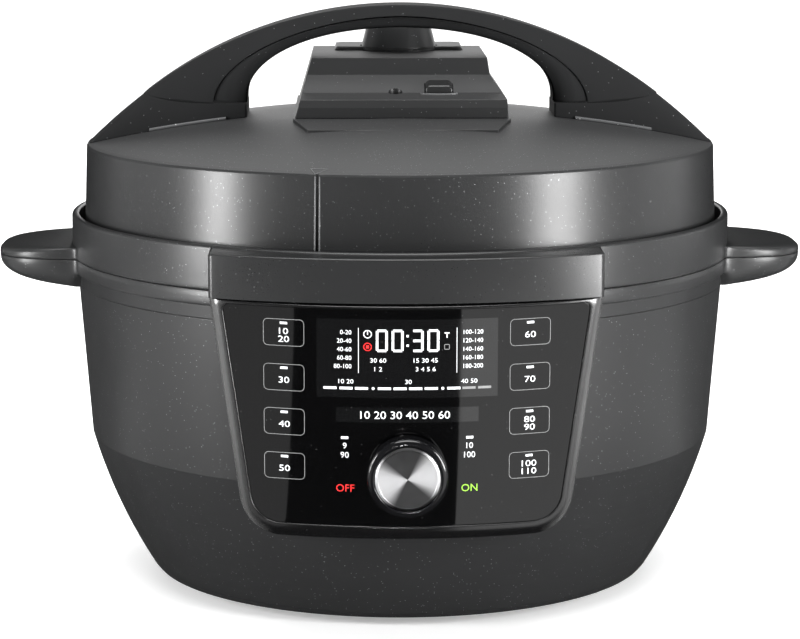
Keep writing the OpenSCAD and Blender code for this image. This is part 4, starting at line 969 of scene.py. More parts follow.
@dataclass
class Print:
    """Flat marks that lie just in front of the panel's glass.

    Args:
        place: the panel's place.
        rise: how far the marks stand in front of the glass.
        form: the marks collected so far.
    """

    place: PanelPlace
    rise: float = 0.06 * MM
    form: Form = field(default_factory=Form)

    def _put(self, flat: Array) -> Array:
        """Points of the panel's front for flat points in millimetres."""
        return self.place.at(flat[..., 0] * MM, flat[..., 1] * MM, self.place.sink - self.rise)

    def bar(self, x: float, z: float, width: float, height: float, steps: int = 2) -> "Print":
        """Adds a filled bar round its middle, in millimetres, that follows the curve in steps."""
        across, up = np.linspace(-width / 2, width / 2, steps), np.array([-height / 2, height / 2])
        u, v = np.meshgrid(x + across, z + up, indexing="ij")
        self.form.grid(self._put(np.stack([u, v], 2)))
        return self

    def outline(self, x: float, z: float, width: float, height: float, radius: float,
                line: float) -> "Print":
        """Adds a rounded frame line.

        Formula: four quarter circles joined by straight sides give one loop, and the line is the
        strip between that loop and the same loop with every size smaller by the line's width.

        Args:
            x: middle across, in millimetres.
            z: middle upwards, in millimetres.
            width: outer width.
            height: outer height.
            radius: outer radius of the corners.
            line: width of the line.

        Returns:
            The marks themselves.
        """
        loops = []
        for inset in (0.0, line):
            r, w, h = max(radius - inset, 0.05), width / 2 - inset, height / 2 - inset
            corners = ((w - r, h - r, 0), (r - w, h - r, 90), (r - w, r - h, 180),
                       (w - r, r - h, 270))
            bends = [arc((x + a, z + b), r, s, s + 90, 6) for a, b, s in corners]
            runs = [np.linspace(m[-1], n[0], 10)[1:-1]
                    for m, n in zip(bends, bends[1:] + bends[:1])]
            loops.append(joined(*[part for pair in zip(bends, runs) for part in pair]))
        self.form.grid(self._put(np.stack(loops)), columns=True)
        return self

    def words(self, text: str, x: float, z: float, height: float, squeeze: float = 1.0,
              side: int = 0) -> "Print":
        """Adds plain characters, in millimetres.

        Args:
            text: the characters.
            x: place across.
            z: middle upwards.
            height: height of a digit.
            squeeze: width factor.
            side: -1 to end at x, 0 for x as the middle, and 1 to start at x.

        Returns:
            The marks themselves.
        """
        curve = bpy.data.curves.new("characters", "FONT")
        curve.body, curve.resolution_u = text, 3
        shape = bpy.data.objects.new("characters", curve)
        data = bpy.data.meshes.new_from_object(shape)
        points = np.zeros(len(data.vertices) * 3)
        data.vertices.foreach_get("co", points)
        points = points.reshape(-1, 3)[:, :2]
        middle = (points.min(0) + points.max(0)) / 2
        flat = (points - middle) * (height / np.ptp(points[:, 1])) * (squeeze, 1.0)
        flat += (x + side * np.ptp(flat[:, 0]) / 2, z)
        faces = [[self.form.count + i for i in p.vertices] for p in data.polygons]
        self.form.points.append(self._put(flat))
        self.form.faces.append(faces)
        self.form.count += len(flat)
        bpy.data.objects.remove(shape)
        bpy.data.curves.remove(curve)
        bpy.data.meshes.remove(data)
        return self

    def digit(self, number: int, x: float, z: float, width: float, height: float,
              line: float) -> "Print":
        """Adds a digit made of up to seven straight bars.

        Args:
            number: the digit.
            x: middle across, in millimetres.
            z: middle upwards.
            width: width over the bars.
            height: height over the bars.
            line: width of a bar.

        Returns:
            The marks themselves.
        """
        w, h, gap = width - line, height - line, 0.25
        bars = {"a": (0, h / 2, w, 0), "b": (w / 2, h / 4, 0, h / 2),
                "c": (w / 2, -h / 4, 0, h / 2), "d": (0, -h / 2, w, 0),
                "e": (-w / 2, -h / 4, 0, h / 2), "f": (-w / 2, h / 4, 0, h / 2),
                "g": (0, 0, w, 0)}
        lit = ("abcdef", "bc", "abged", "abgcd", "fgbc", "afgcd", "afgedc", "abc", "abcdefg",
               "abcdfg")
        for name in lit[number]:
            dx, dz, lx, lz = bars[name]
            self.bar(x + dx, z + dz, max(lx - gap, line), max(lz - gap, line))
        return self

    def finish(self, name: str) -> bpy.types.Object:
        """Makes the marks one piece that rides on the base."""
        return keep(self.form.mesh(name, weld=False, outward=False), "base")


def dress(node: str, finish: Finish) -> bpy.types.Object:
    """Gives a CAD node's material slots one finish and reports it."""
    piece = frame["nodes"][node]
    material = finish.paint()
    for place in piece.material_slots:
        place.material = material
    LOG.info("node %s: %s", node, material.name)
    return piece


def paint(piece: bpy.types.Object, finish: Finish) -> bpy.types.Object:
    """Gives a new piece its finish."""
    piece.data.materials.append(finish.paint())
    return piece


GREY = (0.0165, 0.0168, 0.0172)
STEEL = (0.55, 0.55, 0.56)
BRIGHT_STEEL = (0.6, 0.6, 0.61)


# ---- Sub-assemblies ---------------------------------------------------------------------


@dataclass
class Housing:
    """Outer body, collars with side handles, feet and the plain band; sizes in millimetres.

    Args:
        colour: main colour.
        collar_r: outer radius of the collars.
        rim_r: inner radius of the collars' wall.
        tip: how far the side handles reach from the axis.
        root: where a side handle's oval starts.
        half: half-width of a side handle.
        square: exponent of the handle's plan.
        fillet: width of the hollow between handle and collar.
        crest: height of the handle's top over the seam.
        strip: height of the lower collar's raised strip.
        bowl: depth of the handle under the seam.
        rim: height of the upper collar's rounded rim.
        flange: inner radius, underside and top of the flange inside the upper collar.
        wall: radius of the lower collar's wall under the strip.
        skirt: radius of that wall's lower edge, and the edge's height outside and inside.
        curve: radius of the band's front, seen from above.
        grow: how far out from the collar a handle has its full section.
    """

    colour: Colour = GREY
    collar_r: float = 173.3
    rim_r: float = 169.35
    tip: float = 211.5
    root: float = 151.3
    half: float = 42.0
    square: float = 3.1
    fillet: float = 7.0
    crest: float = 6.0
    strip: float = 7.0
    bowl: float = 14.0
    rim: float = 193.7
    flange: tuple[float, float, float] = (143.3, 172.0, 175.0)
    wall: float = 171.9
    skirt: tuple[float, float, float] = (170.36, 157.32, 158.05)
    curve: float = 235.0
    grow: float = 8.0

    def plan(self, front: float = 0.0) -> tuple[Array, Array, Array]:
        """Outline of the collar with its two handles, seen from above.

        Formula: each handle is a quarter superellipse about its root, turned into radius against
        angle. The outline is the larger of that and the collar's radius, and where they differ by
        less than the fillet it grows by (fillet - difference)^2 / (4 fillet).

        Args:
            front: half-width of a part left out in front, in millimetres.

        Returns:
            Angles in radians, radii, and how far each radius is out on a handle, 0 to 1.
        """
        x, y = quarter(self.tip - self.root, self.half, self.square, 90)
        angle, radius = np.arctan2(y, self.root + x), np.hypot(y, self.root + x)
        first = np.concatenate([angle[::2], np.linspace(angle[-1], math.pi / 2, 60)[1:]])
        reach = np.interp(first, angle, radius, right=0.0)
        both = np.maximum(reach, self.collar_r)
        near = np.clip(self.fillet - np.abs(reach - self.collar_r), 0.0, None)
        r = both + near**2 / (4 * self.fillet)
        a = np.concatenate([first, math.pi - first[-2::-1], math.pi + first[1:],
                            2 * math.pi - first[-2:0:-1]])
        r = np.concatenate([r, r[-2::-1], r[1:], r[-2:0:-1]])
        if front:
            gap = math.asin(front / self.collar_r)
            shown = np.abs(a - 1.5 * math.pi) > gap
            start = int(np.argmax(~shown)) + int((~shown).sum())
            a = np.roll(np.where(a > 1.5 * math.pi, a - 2 * math.pi, a), -start)
            r = np.roll(r, -start)
            a, r = a[:int(shown.sum())], r[:int(shown.sum())]
        return a, r, smooth_step((r - self.collar_r) / self.grow)

    def ringed(self, name: str, a: Array, rows: list[tuple[Array, Array]],
               closed: bool) -> bpy.types.Mesh:
        """Mesh of a closed section carried round by angle; an open one gets flat ends."""
        block = MM * np.stack([np.stack([r * np.cos(a), r * np.sin(a), z + 0 * a], 1)
                               for r, z in rows])
        form = Form().grid(block, rows=True, columns=closed)
        if not closed:
            form.ngons(block[:, 0][None]).ngons(block[::-1, -1][None])
        return form.mesh(name)

    def upper(self) -> bpy.types.Object:
        """Upper collar with the tops of the side handles.

        Formula: the section rises from the seam by a squarish quarter superellipse that ends at
        the collar's wall, goes up over the rounded rim, and down to the liner's flange.
        """
        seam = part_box("upper_collar")[0].z / MM
        a, r, _ = self.plan()
        bore, under, over = self.flange
        lift, power = 0.9, 3.6
        wide, tall = quarter(r - self.collar_r, self.crest - lift + 0 * r, power + 0 * r, 18)
        top = [(self.collar_r + w, seam + lift + t) for w, t in zip(wide, tall)]
        rim = eased([(self.collar_r, seam + self.crest + 1.5), (self.collar_r, self.rim),
                     (self.rim_r, self.rim), (self.rim_r, over)], (1.9, 1.3), 7)
        inner = [(bore, over), (bore, under), (self.rim_r, under), (self.rim_r, seam)]
        low = [(r - 0.4, seam + 0 * r), (r - 0.1, seam + 0.25 + 0 * r)]
        rows = low + top + [(p + 0 * a, q + 0 * a) for p, q in joined(rim, inner)]
        piece = keep(self.ringed("collar_upper", a, rows, True), "base", 50.0)
        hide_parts("upper_collar")
        return piece

    def lower(self) -> bpy.types.Object:
        """Lower collar with the undersides of the side handles, open behind the panel.

        Formula: as the upper collar, but the quarter superellipse hangs down from the seam, and
        the wall goes on under it with the housing's own slope.
        """
        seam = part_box("lower_collar")[1].z / MM
        a, r, out = self.plan(88.0)
        deep = self.strip + (self.bowl - self.strip) * out
        wide, tall = quarter(r - 0.1 - self.wall, deep, 5.0 - 2.6 * out, 18)
        under = seam - 0.5
        bowl = [(self.wall + w, under - t) for w, t in zip(wide, tall)]
        base = under - deep
        back, (edge, outside, inside) = self.rim_r + 0.1 + 0 * a, self.skirt
        rows = [(back, seam + 0 * a), (r - 0.4, seam + 0 * a)] + bowl
        rows += [(self.wall - 1.0 + 0 * a, base), (edge + 0 * a, outside + 0 * a),
                 (back, inside + 0 * a)]
        piece = keep(self.ringed("collar_lower", a, rows, False), "base", 50.0)
        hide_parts("lower_collar")
        return piece

    def band(self) -> bpy.types.Object:
        """Band over the panel, with rounded upright ends.

        Formula: the plan runs up one end, round a corner, along the front's arc and back; rows
        of it, drawn in by a quarter circle at the top, join at both edges to the collar's wall.
        """
        low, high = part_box("front_band")
        curve, half, back = self.curve, high.x / MM, self.collar_r + 0.35
        front, z0, z1 = low.y / MM, low.z / MM, high.z / MM - 1.6
        centre, bend, soft = front + curve, 3.2, 1.1
        tilt = math.degrees(math.asin((half - bend) / (curve - bend)))
        turn = (half - bend, centre - math.sqrt((curve - bend) ** 2 - (half - bend) ** 2))
        right = joined(np.linspace((half, -math.sqrt(back**2 - half**2)), (half, turn[1]), 6)[:-1],
                       arc(turn, bend, 0.0, tilt - 90, 12),
                       arc((0.0, centre), curve, tilt - 90, -90, 40)[1:])
        path = joined(right, right[-2::-1] * (-1.0, 1.0))
        along = np.gradient(path, axis=0)
        normal = np.stack([-along[:, 1], along[:, 0]], 1)
        normal = normal / np.linalg.norm(along, axis=1, keepdims=True)
        normal *= np.sign((normal * (path - (0.0, -100.0))).sum(1, keepdims=True))
        inner = np.stack([np.clip(path[:, 0], -half + 0.4, half - 0.4), 0 * path[:, 0]], 1)
        inner[:, 1] = -np.sqrt(back**2 - inner[:, 0] ** 2)
        rows = [(inner, z0), (path, z0)]
        rows += [(path - normal * (soft - w), z1 - soft + t)
                 for w, t in zip(*quarter(soft, soft, 2.0, 6))]
        rows += [(inner, z1)]
        mesh = Form().grid(levels(rows), rows=True).mesh("band_rounded")
        piece = keep(mesh, "base", 35.0)
        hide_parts("front_band")
        return piece

    def build(self) -> None:
        """Builds and dresses the outer shells."""
        dress("base_housing", Flecked("housing_shell", self.colour))
        collar = Flecked("collar_plastic", self.colour, rough=0.34)
        for piece in (self.upper(), self.lower()):
            paint(piece, collar)
        paint(self.band(), Flecked("band_front", shade(self.colour, 0.9), rough=0.3, flecks=0.015))
        dress("bottom_cover", Grained("bottom_plate", (0.02, 0.02, 0.021), rough=0.6))
        dress("feet", Grained("rubber_feet", (0.012, 0.012, 0.013), rough=0.75, sheen=0.2))
        dress("base_screws", Metal("screws_bottom", STEEL))
        dress("collar_screws", Metal("screws_collar", STEEL))


@dataclass
class ControlPanel:
    """Leaning panel with its keys, displays and marks, all sizes in millimetres.

    Args:
        key_x: distance of the keys' middles from the panel's middle.
        key_rows: heights of the four rows of keys under the panel's top edge.
        key_w: width of a key's outline.
        key_h: height of a key's outline.
        screen: middle and size of the main display.
        strip: middle and size of the message display.
        list_rows: heights of the rows of the two lists.
        small: height of the smallest numbers.
        scale: height of the scale under the main display.
        segment: size of one of its segments.
        hub: place of the dial's axis.
        hole: radius of the hole for its shaft.
    """

    key_x: float = 58.2
    key_rows: tuple[float, ...] = (-14.9, -36.6, -58.1, -79.8)
    key_w: float = 19.4
    key_h: float = 13.0
    screen: tuple[float, float, float, float] = (0.0, -26.2, 85.4, 37.8)
    strip: tuple[float, float, float, float] = (0.0, -53.5, 67.5, 7.2)
    list_rows: tuple[float, ...] = (-13.6, -17.7, -21.8, -25.9, -30.0)
    small: float = 2.1
    scale: float = -40.6
    segment: tuple[float, float] = (6.2, 1.2)
    hub: tuple[float, float] = (0.0, -81.7)
    hole: float = 3.5

    def keys(self, lines: Print, marks: Print) -> None:
        """Outlines, lamp bars and plain numbers of the eight keys."""
        labels = (("10", "20"), ("30",), ("40",), ("50",), ("60",), ("70",), ("80", "90"),
                  ("100", "110"))
        places = [(s * self.key_x, z) for s in (-1, 1) for z in self.key_rows]
        for (x, z), label in zip(places, labels):
            lines.outline(x, z, self.key_w, self.key_h, 2.2, 0.24)
            marks.bar(x, z + 4.6, 3.4, 1.1)
            for row, text in enumerate(label):
                marks.words(text, x, z - 1.2 + (len(label) - 1) * (1.9 - 3.8 * row), 3.0, 1.3)

    def lists(self, marks: Print) -> None:
        """Plain numbers of the main display's lists, labels and scale."""
        for row, z in enumerate(self.list_rows):
            marks.words(f"{20 * row}-{20 * row + 20}", -26.3, z, self.small, side=-1)
            marks.words(f"{100 + 20 * row}-{120 + 20 * row}", 26.4, z, self.small, side=1)
        for x in (-23.0, 23.3):
            marks.bar(x, -22.3, 0.26, 21.8)
        for text, x, z in (("30 60", -13.7, -27.0), ("15 30 45", 8.6, -27.0), ("1 2", -13.7, -31.2),
                           ("3 4 5 6", 8.6, -31.2), ("10 20", -28.9, -37.3), ("30", 0.5, -37.3),
                           ("40 50", 29.2, -37.3)):
            marks.words(text, x, z, self.small, 1.15)
        marks.outline(-18.7, -14.4, 4.0, 4.0, 2.0, 0.4).bar(-18.7, -13.8, 0.4, 1.8)
        marks.bar(18.6, -13.9, 2.4, 0.5).bar(18.6, -15.2, 0.5, 2.0)
        for x in (-36.4, -28.9, -21.6, -10.8, -3.4, 3.9, 11.3, 21.9):
            marks.bar(x, self.scale, *self.segment, 4)
        for x in (-16.1, 16.7):
            marks.outline(x, self.scale, 1.4, 1.4, 0.7, 0.5)

    def frame(self, place: PanelPlace) -> bpy.types.Object:
        """Frame with a rounded outer bevel.

        Formula: a closed section of (inset, depth) points is carried round the outline; its front
        is a quarter superellipse 5 wide and 5.5 deep.
        """
        wide, deep = 5.0, 5.5
        t, d = quarter(wide, deep, 2.3, 12)
        section = joined([(3.0, 36.0), (0.0, 36.0), (0.0, 12.0)], np.stack([wide - t, deep - d], 1),
                         [(5.6, 0.0), (5.85, 0.12), (5.97, 0.4), (5.97, 2.6), (3.0, 4.0)])
        rows = [place.on(place.outline(i, i * 1.25, i * 0.417, 0.8 + 0.4 * i), depth)
                for i, depth in section]
        mesh = Form().grid(np.stack(rows), rows=True, columns=True).mesh("frame_bevelled")
        piece = keep(mesh, "base", 40.0)
        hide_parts("panel_frame")
        return piece

    def glass(self, place: PanelPlace) -> bpy.types.Object:
        """Curved glass with a hole for the dial's shaft.

        Formula: points run evenly from the hole's circle to the outline, on the front at the
        sink's depth, and back again 2 mm behind it.
        """
        rim = place.outline(6.08, 7.6, 2.6, 3.2)
        away = rim - self.hub
        hole = away / np.linalg.norm(away, axis=1, keepdims=True) * self.hole + self.hub
        u = np.linspace(0.0, 1.0, 24)[:, None, None]
        flat = hole * (1 - u) + rim * u
        near, thick = place.sink / MM, 2.0
        front, back = place.on(flat, near), place.on(flat[::-1], near + thick)
        shell = Form().grid(np.concatenate([front, back]), rows=True, columns=True)
        piece = keep(shell.mesh("glass_curved"), "base")
        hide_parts("panel_glass")
        return piece

    def build(self) -> None:
        """Dresses the panel's nodes and prints its marks."""
        place = PanelPlace()
        # Painted highlight: the frame's sideways faces get a lighter grey.
        paint(self.frame(place), Polished("frame_gloss", (0.002, 0.002, 0.0022), rough=0.2,
                                          haze=0.06, gloss=0.8, side=0.05))
        paint(self.glass(place), Polished("glass_black", (0.0009, 0.0009, 0.001), rough=0.03,
                                          haze=0.03))
        dress("display_module", Polished("display_block", (0.02, 0.022, 0.025), rough=0.2))
        dress("message_display", Polished("strip_block", (0.02, 0.022, 0.025), rough=0.2))
        dress("key_lights", Grained("light_guides", (0.75, 0.76, 0.74), rough=0.4, clear=0.3))
        dress("control_board", Board("board_front"))
        dress("board_screws", Metal("screws_board", (0.6, 0.58, 0.5)))
        dress("dial_encoder", Metal("encoder_case", (0.5, 0.5, 0.5), rough=0.35))
        window = Print(place, 0.03 * MM).bar(*self.screen, 17).bar(*self.strip, 13)
        paint(window.finish("display_windows"),
              Polished("windows_grey", (0.003, 0.0031, 0.0033), rough=0.05, gloss=0.85))
        white, dim = Print(place), Print(place)
        self.keys(dim, white)
        self.lists(white)
        for x, number in ((-12.0, 0), (-4.6, 0), (4.8, 3), (12.2, 0)):
            white.digit(number, x, -17.5, 5.6, 10.8, 1.15)
        white.bar(0.1, -15.2, 1.1, 1.1).bar(0.1, -19.8, 1.1, 1.1)
        white.words("10 20 30 40 50 60", self.strip[0] - 1.0, self.strip[1], 3.7, 1.12)
        for s, number in ((-1, 9), (1, 10)):
            white.bar(s * 29.6, -64.8, 3.4, 1.2).words(str(number), s * 29.6, -68.7, 2.9)
            white.words(f"{number}0", s * 29.6, -73.2, 2.9)
        for x in (29.1, 36.5):
            dim.bar(x, self.scale, *self.segment, 4)
        dim.outline(18.6, -20.6, 2.6, 2.6, 0.5, 0.3)
        paint(white.finish("marks_white"), Lit("marks_light", (0.86, 0.88, 0.9), 0.35))
        paint(dim.finish("marks_dim"), Lit("marks_grey", (0.24, 0.242, 0.242), 0.16))
        red = Print(place).words("OFF", -29.4, -89.5, 3.6)
        red.outline(-18.7, -20.5, 4.0, 4.0, 2.0, 0.4).bar(-18.7, -20.5, 1.4, 1.4)
        paint(red.finish("marks_red"), Lit("marks_red", (0.86, 0.02, 0.02), 0.35))
        green = Print(place).words("ON", 29.6, -89.5, 3.6)
        paint(green.finish("marks_green"), Lit("marks_green", (0.3, 0.62, 0.05), 0.35))


@dataclass
class Dial:
    """Push-and-turn dial in the middle of the panel, sizes in millimetres.

    Args:
        ring: profile of the black ring as radius and height over the panel.
        cap: profile of the metal cap.
    """

    ring: tuple[tuple[float, float], ...] = (
        (3.1, 8.9), (3.1, 1.1), (18.4, 1.1), (19.2, 1.9), (19.2, 10.2), (17.0, 11.3), (15.9, 11.1),
        (15.6, 10.4), (15.6, 8.9), (3.1, 8.9))
    cap: tuple[tuple[float, float], ...] = (
        (0.0, 8.95), (15.5, 8.95), (15.5, 10.9), (14.3, 11.5), (14.05, 11.5),
        (13.9, 11.36), (0.0, 11.36))

    def joint(self) -> dict:
        """The record's entry of the joint that turns the dial."""
        return next(j for j in frame["record"]["behaviour"]["joints"] if j["name"] == "dial_turn")

    def turned(self, name: str, profile: Array, slot: str) -> bpy.types.Object:
        """A profile turned about the dial's own axis, which the record gives."""
        out = np.array(self.joint()["axis"])
        side = np.array([1.0, 0.0, 0.0])
        basis = np.stack([side, np.cross(out, side), out])
        block = lathe(profile * MM) @ basis + self.joint()["pos_m"]
        return keep(Form().grid(block, columns=True).mesh(name), "dial", 35.0)

    def build(self) -> None:
        """Builds the ring and the cap, and dresses the shaft and the plunger."""
        soft = (0.3, 0.4, 0.5, 2.0, 0.8, 0.4, 0.2, 0.2)
        ring = self.turned("dial_ring_gloss", eased(self.ring, soft, 6), "dial_ring")
        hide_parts("dial_ring")
        paint(ring, Polished("ring_gloss", (0.003, 0.003, 0.0035), rough=0.12))
        soft = (0.2, 0.35, 0.2, 0.08, 0.08)
        cap = self.turned("dial_cap_turned", eased(self.cap, soft), "dial_cap")
        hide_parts("dial_cap")
        # The cap carries painted highlight fans in its colour.
        paint(cap, Grooved("cap_turned", tuple(self.joint()["pos_m"]), PanelPlace.lean))
        dress("dial_shaft", Metal("shaft_steel", (0.5, 0.5, 0.5), rough=0.35, lay=Lay.ALONG_Z))
        dress("dial_plunger", Grained("plunger_white", (0.55, 0.55, 0.53), rough=0.45))


@dataclass
class Works:
    """Liner, heater, sensor, boards, inlet and wires inside the body."""

    def build(self) -> None:
        """Dresses the inner works."""
        dress("liner", Metal("liner_steel", (0.56, 0.56, 0.57), rough=0.36, lay=Lay.ROUND_Z))
        dress("bayonet_ring", Metal("bayonet_steel", BRIGHT_STEEL, lay=Lay.ROUND_Z))
        dress("flange_screws", Metal("screws_flange", STEEL))
        dress("heating_plate", Metal("plate_cast", (0.5, 0.5, 0.51), rough=0.45, lay=Lay.ROUND_Z,
                                     pitch=0.9 * MM))
        dress("heating_element", Metal("element_tube", (0.3, 0.3, 0.29), rough=0.5))
        dress("plate_supports", Metal("supports_steel", (0.5, 0.5, 0.51)))
        dress("sensor_can", Metal("sensor_cap", (0.62, 0.62, 0.62), rough=0.28, lay=Lay.ROUND_Z))
        dress("sensor_spring", Metal("spring_low", (0.5, 0.5, 0.5)))
        dress("pressure_switch", Grained("switch_ceramic", (0.6, 0.58, 0.52), rough=0.6))
        dress("thermal_fuse", Grained("fuse_ceramic", (0.62, 0.6, 0.55), rough=0.6))
        dress("power_board", Board("board_power", (0.03, 0.08, 0.04)))
        dress("board_parts", Grained("parts_black", (0.04, 0.04, 0.045), rough=0.5))
        dress("power_inlet", Grained("inlet_black", (0.02, 0.02, 0.021), rough=0.5))
        dress("inlet_pins", Metal("pins_brass", (0.72, 0.6, 0.36), rough=0.28, lay=Lay.ALONG_X))
        dress("inlet_screws", Metal("screws_inlet", STEEL))
        dress("wire_harness", Grained("wires_sleeve", (0.5, 0.08, 0.06), rough=0.45))
        dress("condensation_cup", Grained("cup_smoked", (0.35, 0.36, 0.37), rough=0.25, clear=0.6))


@dataclass
class PotAndSeal:
    """Cooking pot and the sealing ring."""

    def build(self) -> None:
        """Dresses the pot and the seal."""
        dress("inner_pot", Metal("pot_steel", (0.62, 0.62, 0.63), rough=0.24, lay=Lay.ROUND_Z))
        dress("sealing_ring", Grained("seal_silicone", (0.6, 0.6, 0.58), rough=0.5, sheen=0.2,
                                      clear=0.2))


@dataclass
class Lid:
    """Lid shell with its marks, steel plate, rack, shield and float valve; sizes in millimetres.

    Args:
        colour: main colour.
        low: radius and height near the lid's lower edge.
        high: radius and height at the top of its side.
        groove: direction of the groove from the front, in degrees.
        mark: radius at which the triangle lies.
    """

    colour: Colour = GREY
    low: tuple[float, float] = (166.42, 188.5)
    high: tuple[float, float] = (164.78, 228.6)
    groove: float = -14.8
    mark: float = 161.3

    def ribs(self) -> bpy.types.Object:
        """Two fine ribs beside the groove and an outlined triangle over it on the dome's edge.

        Formula: a rib is half an ellipse carried up the lid's side at a fixed distance along its
        round; the triangle is the strip between two similar triangles, laid on the dome.
        """
        form = Form()
        z = np.linspace(self.low[1], self.high[1], 12)[:, None]
        r = np.interp(z, (self.low[1], self.high[1]), (self.low[0], self.high[0]))
        t = np.radians(np.linspace(0.0, 180.0, 7))[None]
        for off in (-1.15, 1.15):
            a = math.radians(self.groove) + (off + 0.42 * np.cos(t)) / self.low[0]
            out = r - 0.05 + 0.3 * np.sin(t)
            block = np.stack([out * np.sin(a), -out * np.cos(a), z + 0 * a], 2) * MM
            form.rod(block)
        tips = np.array([(-0.9, 0.75), (0.9, 0.75), (0.0, -0.75)])
        edge = joined(*[np.linspace(p, q, 7)[:-1] for p, q in zip(tips, np.roll(tips, -1, 0))])
        size = np.array([5.2, 5.2, 4.5, 4.5])[:, None]
        rise = np.array([-0.1, 0.14, 0.14, -0.1])[:, None]
        a = math.radians(self.groove - 0.35) + size * edge[:, 0] / self.mark
        out = self.mark - size * edge[:, 1]
        block = np.stack([out * np.sin(a), -out * np.cos(a), dome(out) + rise], 2) * MM
        form.grid(block, rows=True, columns=True)
        return keep(form.mesh("lid_marks"), "lid")

    def build(self) -> None:
        """Dresses the lid and adds its marks."""
        # Painted light makes the lid's upward faces lighter.
        dress("lid_shell", Flecked("lid_plastic", self.colour, rough=0.31, crown=0.45))
        # Painted highlight: the ribs and the triangle are seven times lighter than the lid.
        paint(self.ribs(), Flecked("ribs_highlight_paint", shade(self.colour, 7.0), rough=0.3))
        dress("lid_plate", Metal("plate_steel", BRIGHT_STEEL, lay=Lay.ROUND_Z))
        dress("ring_rack", Metal("rack_wire", BRIGHT_STEEL, rough=0.25))
        dress("lid_studs", Metal("studs_steel", STEEL))
        dress("anti_block_shield", Metal("shield_steel", BRIGHT_STEEL))
        dress("float_pin", Metal("pin_steel", BRIGHT_STEEL, rough=0.25, lay=Lay.ALONG_Z))
        dress("float_seal", Grained("seal_float", (0.55, 0.55, 0.53), rough=0.5, sheen=0.2))


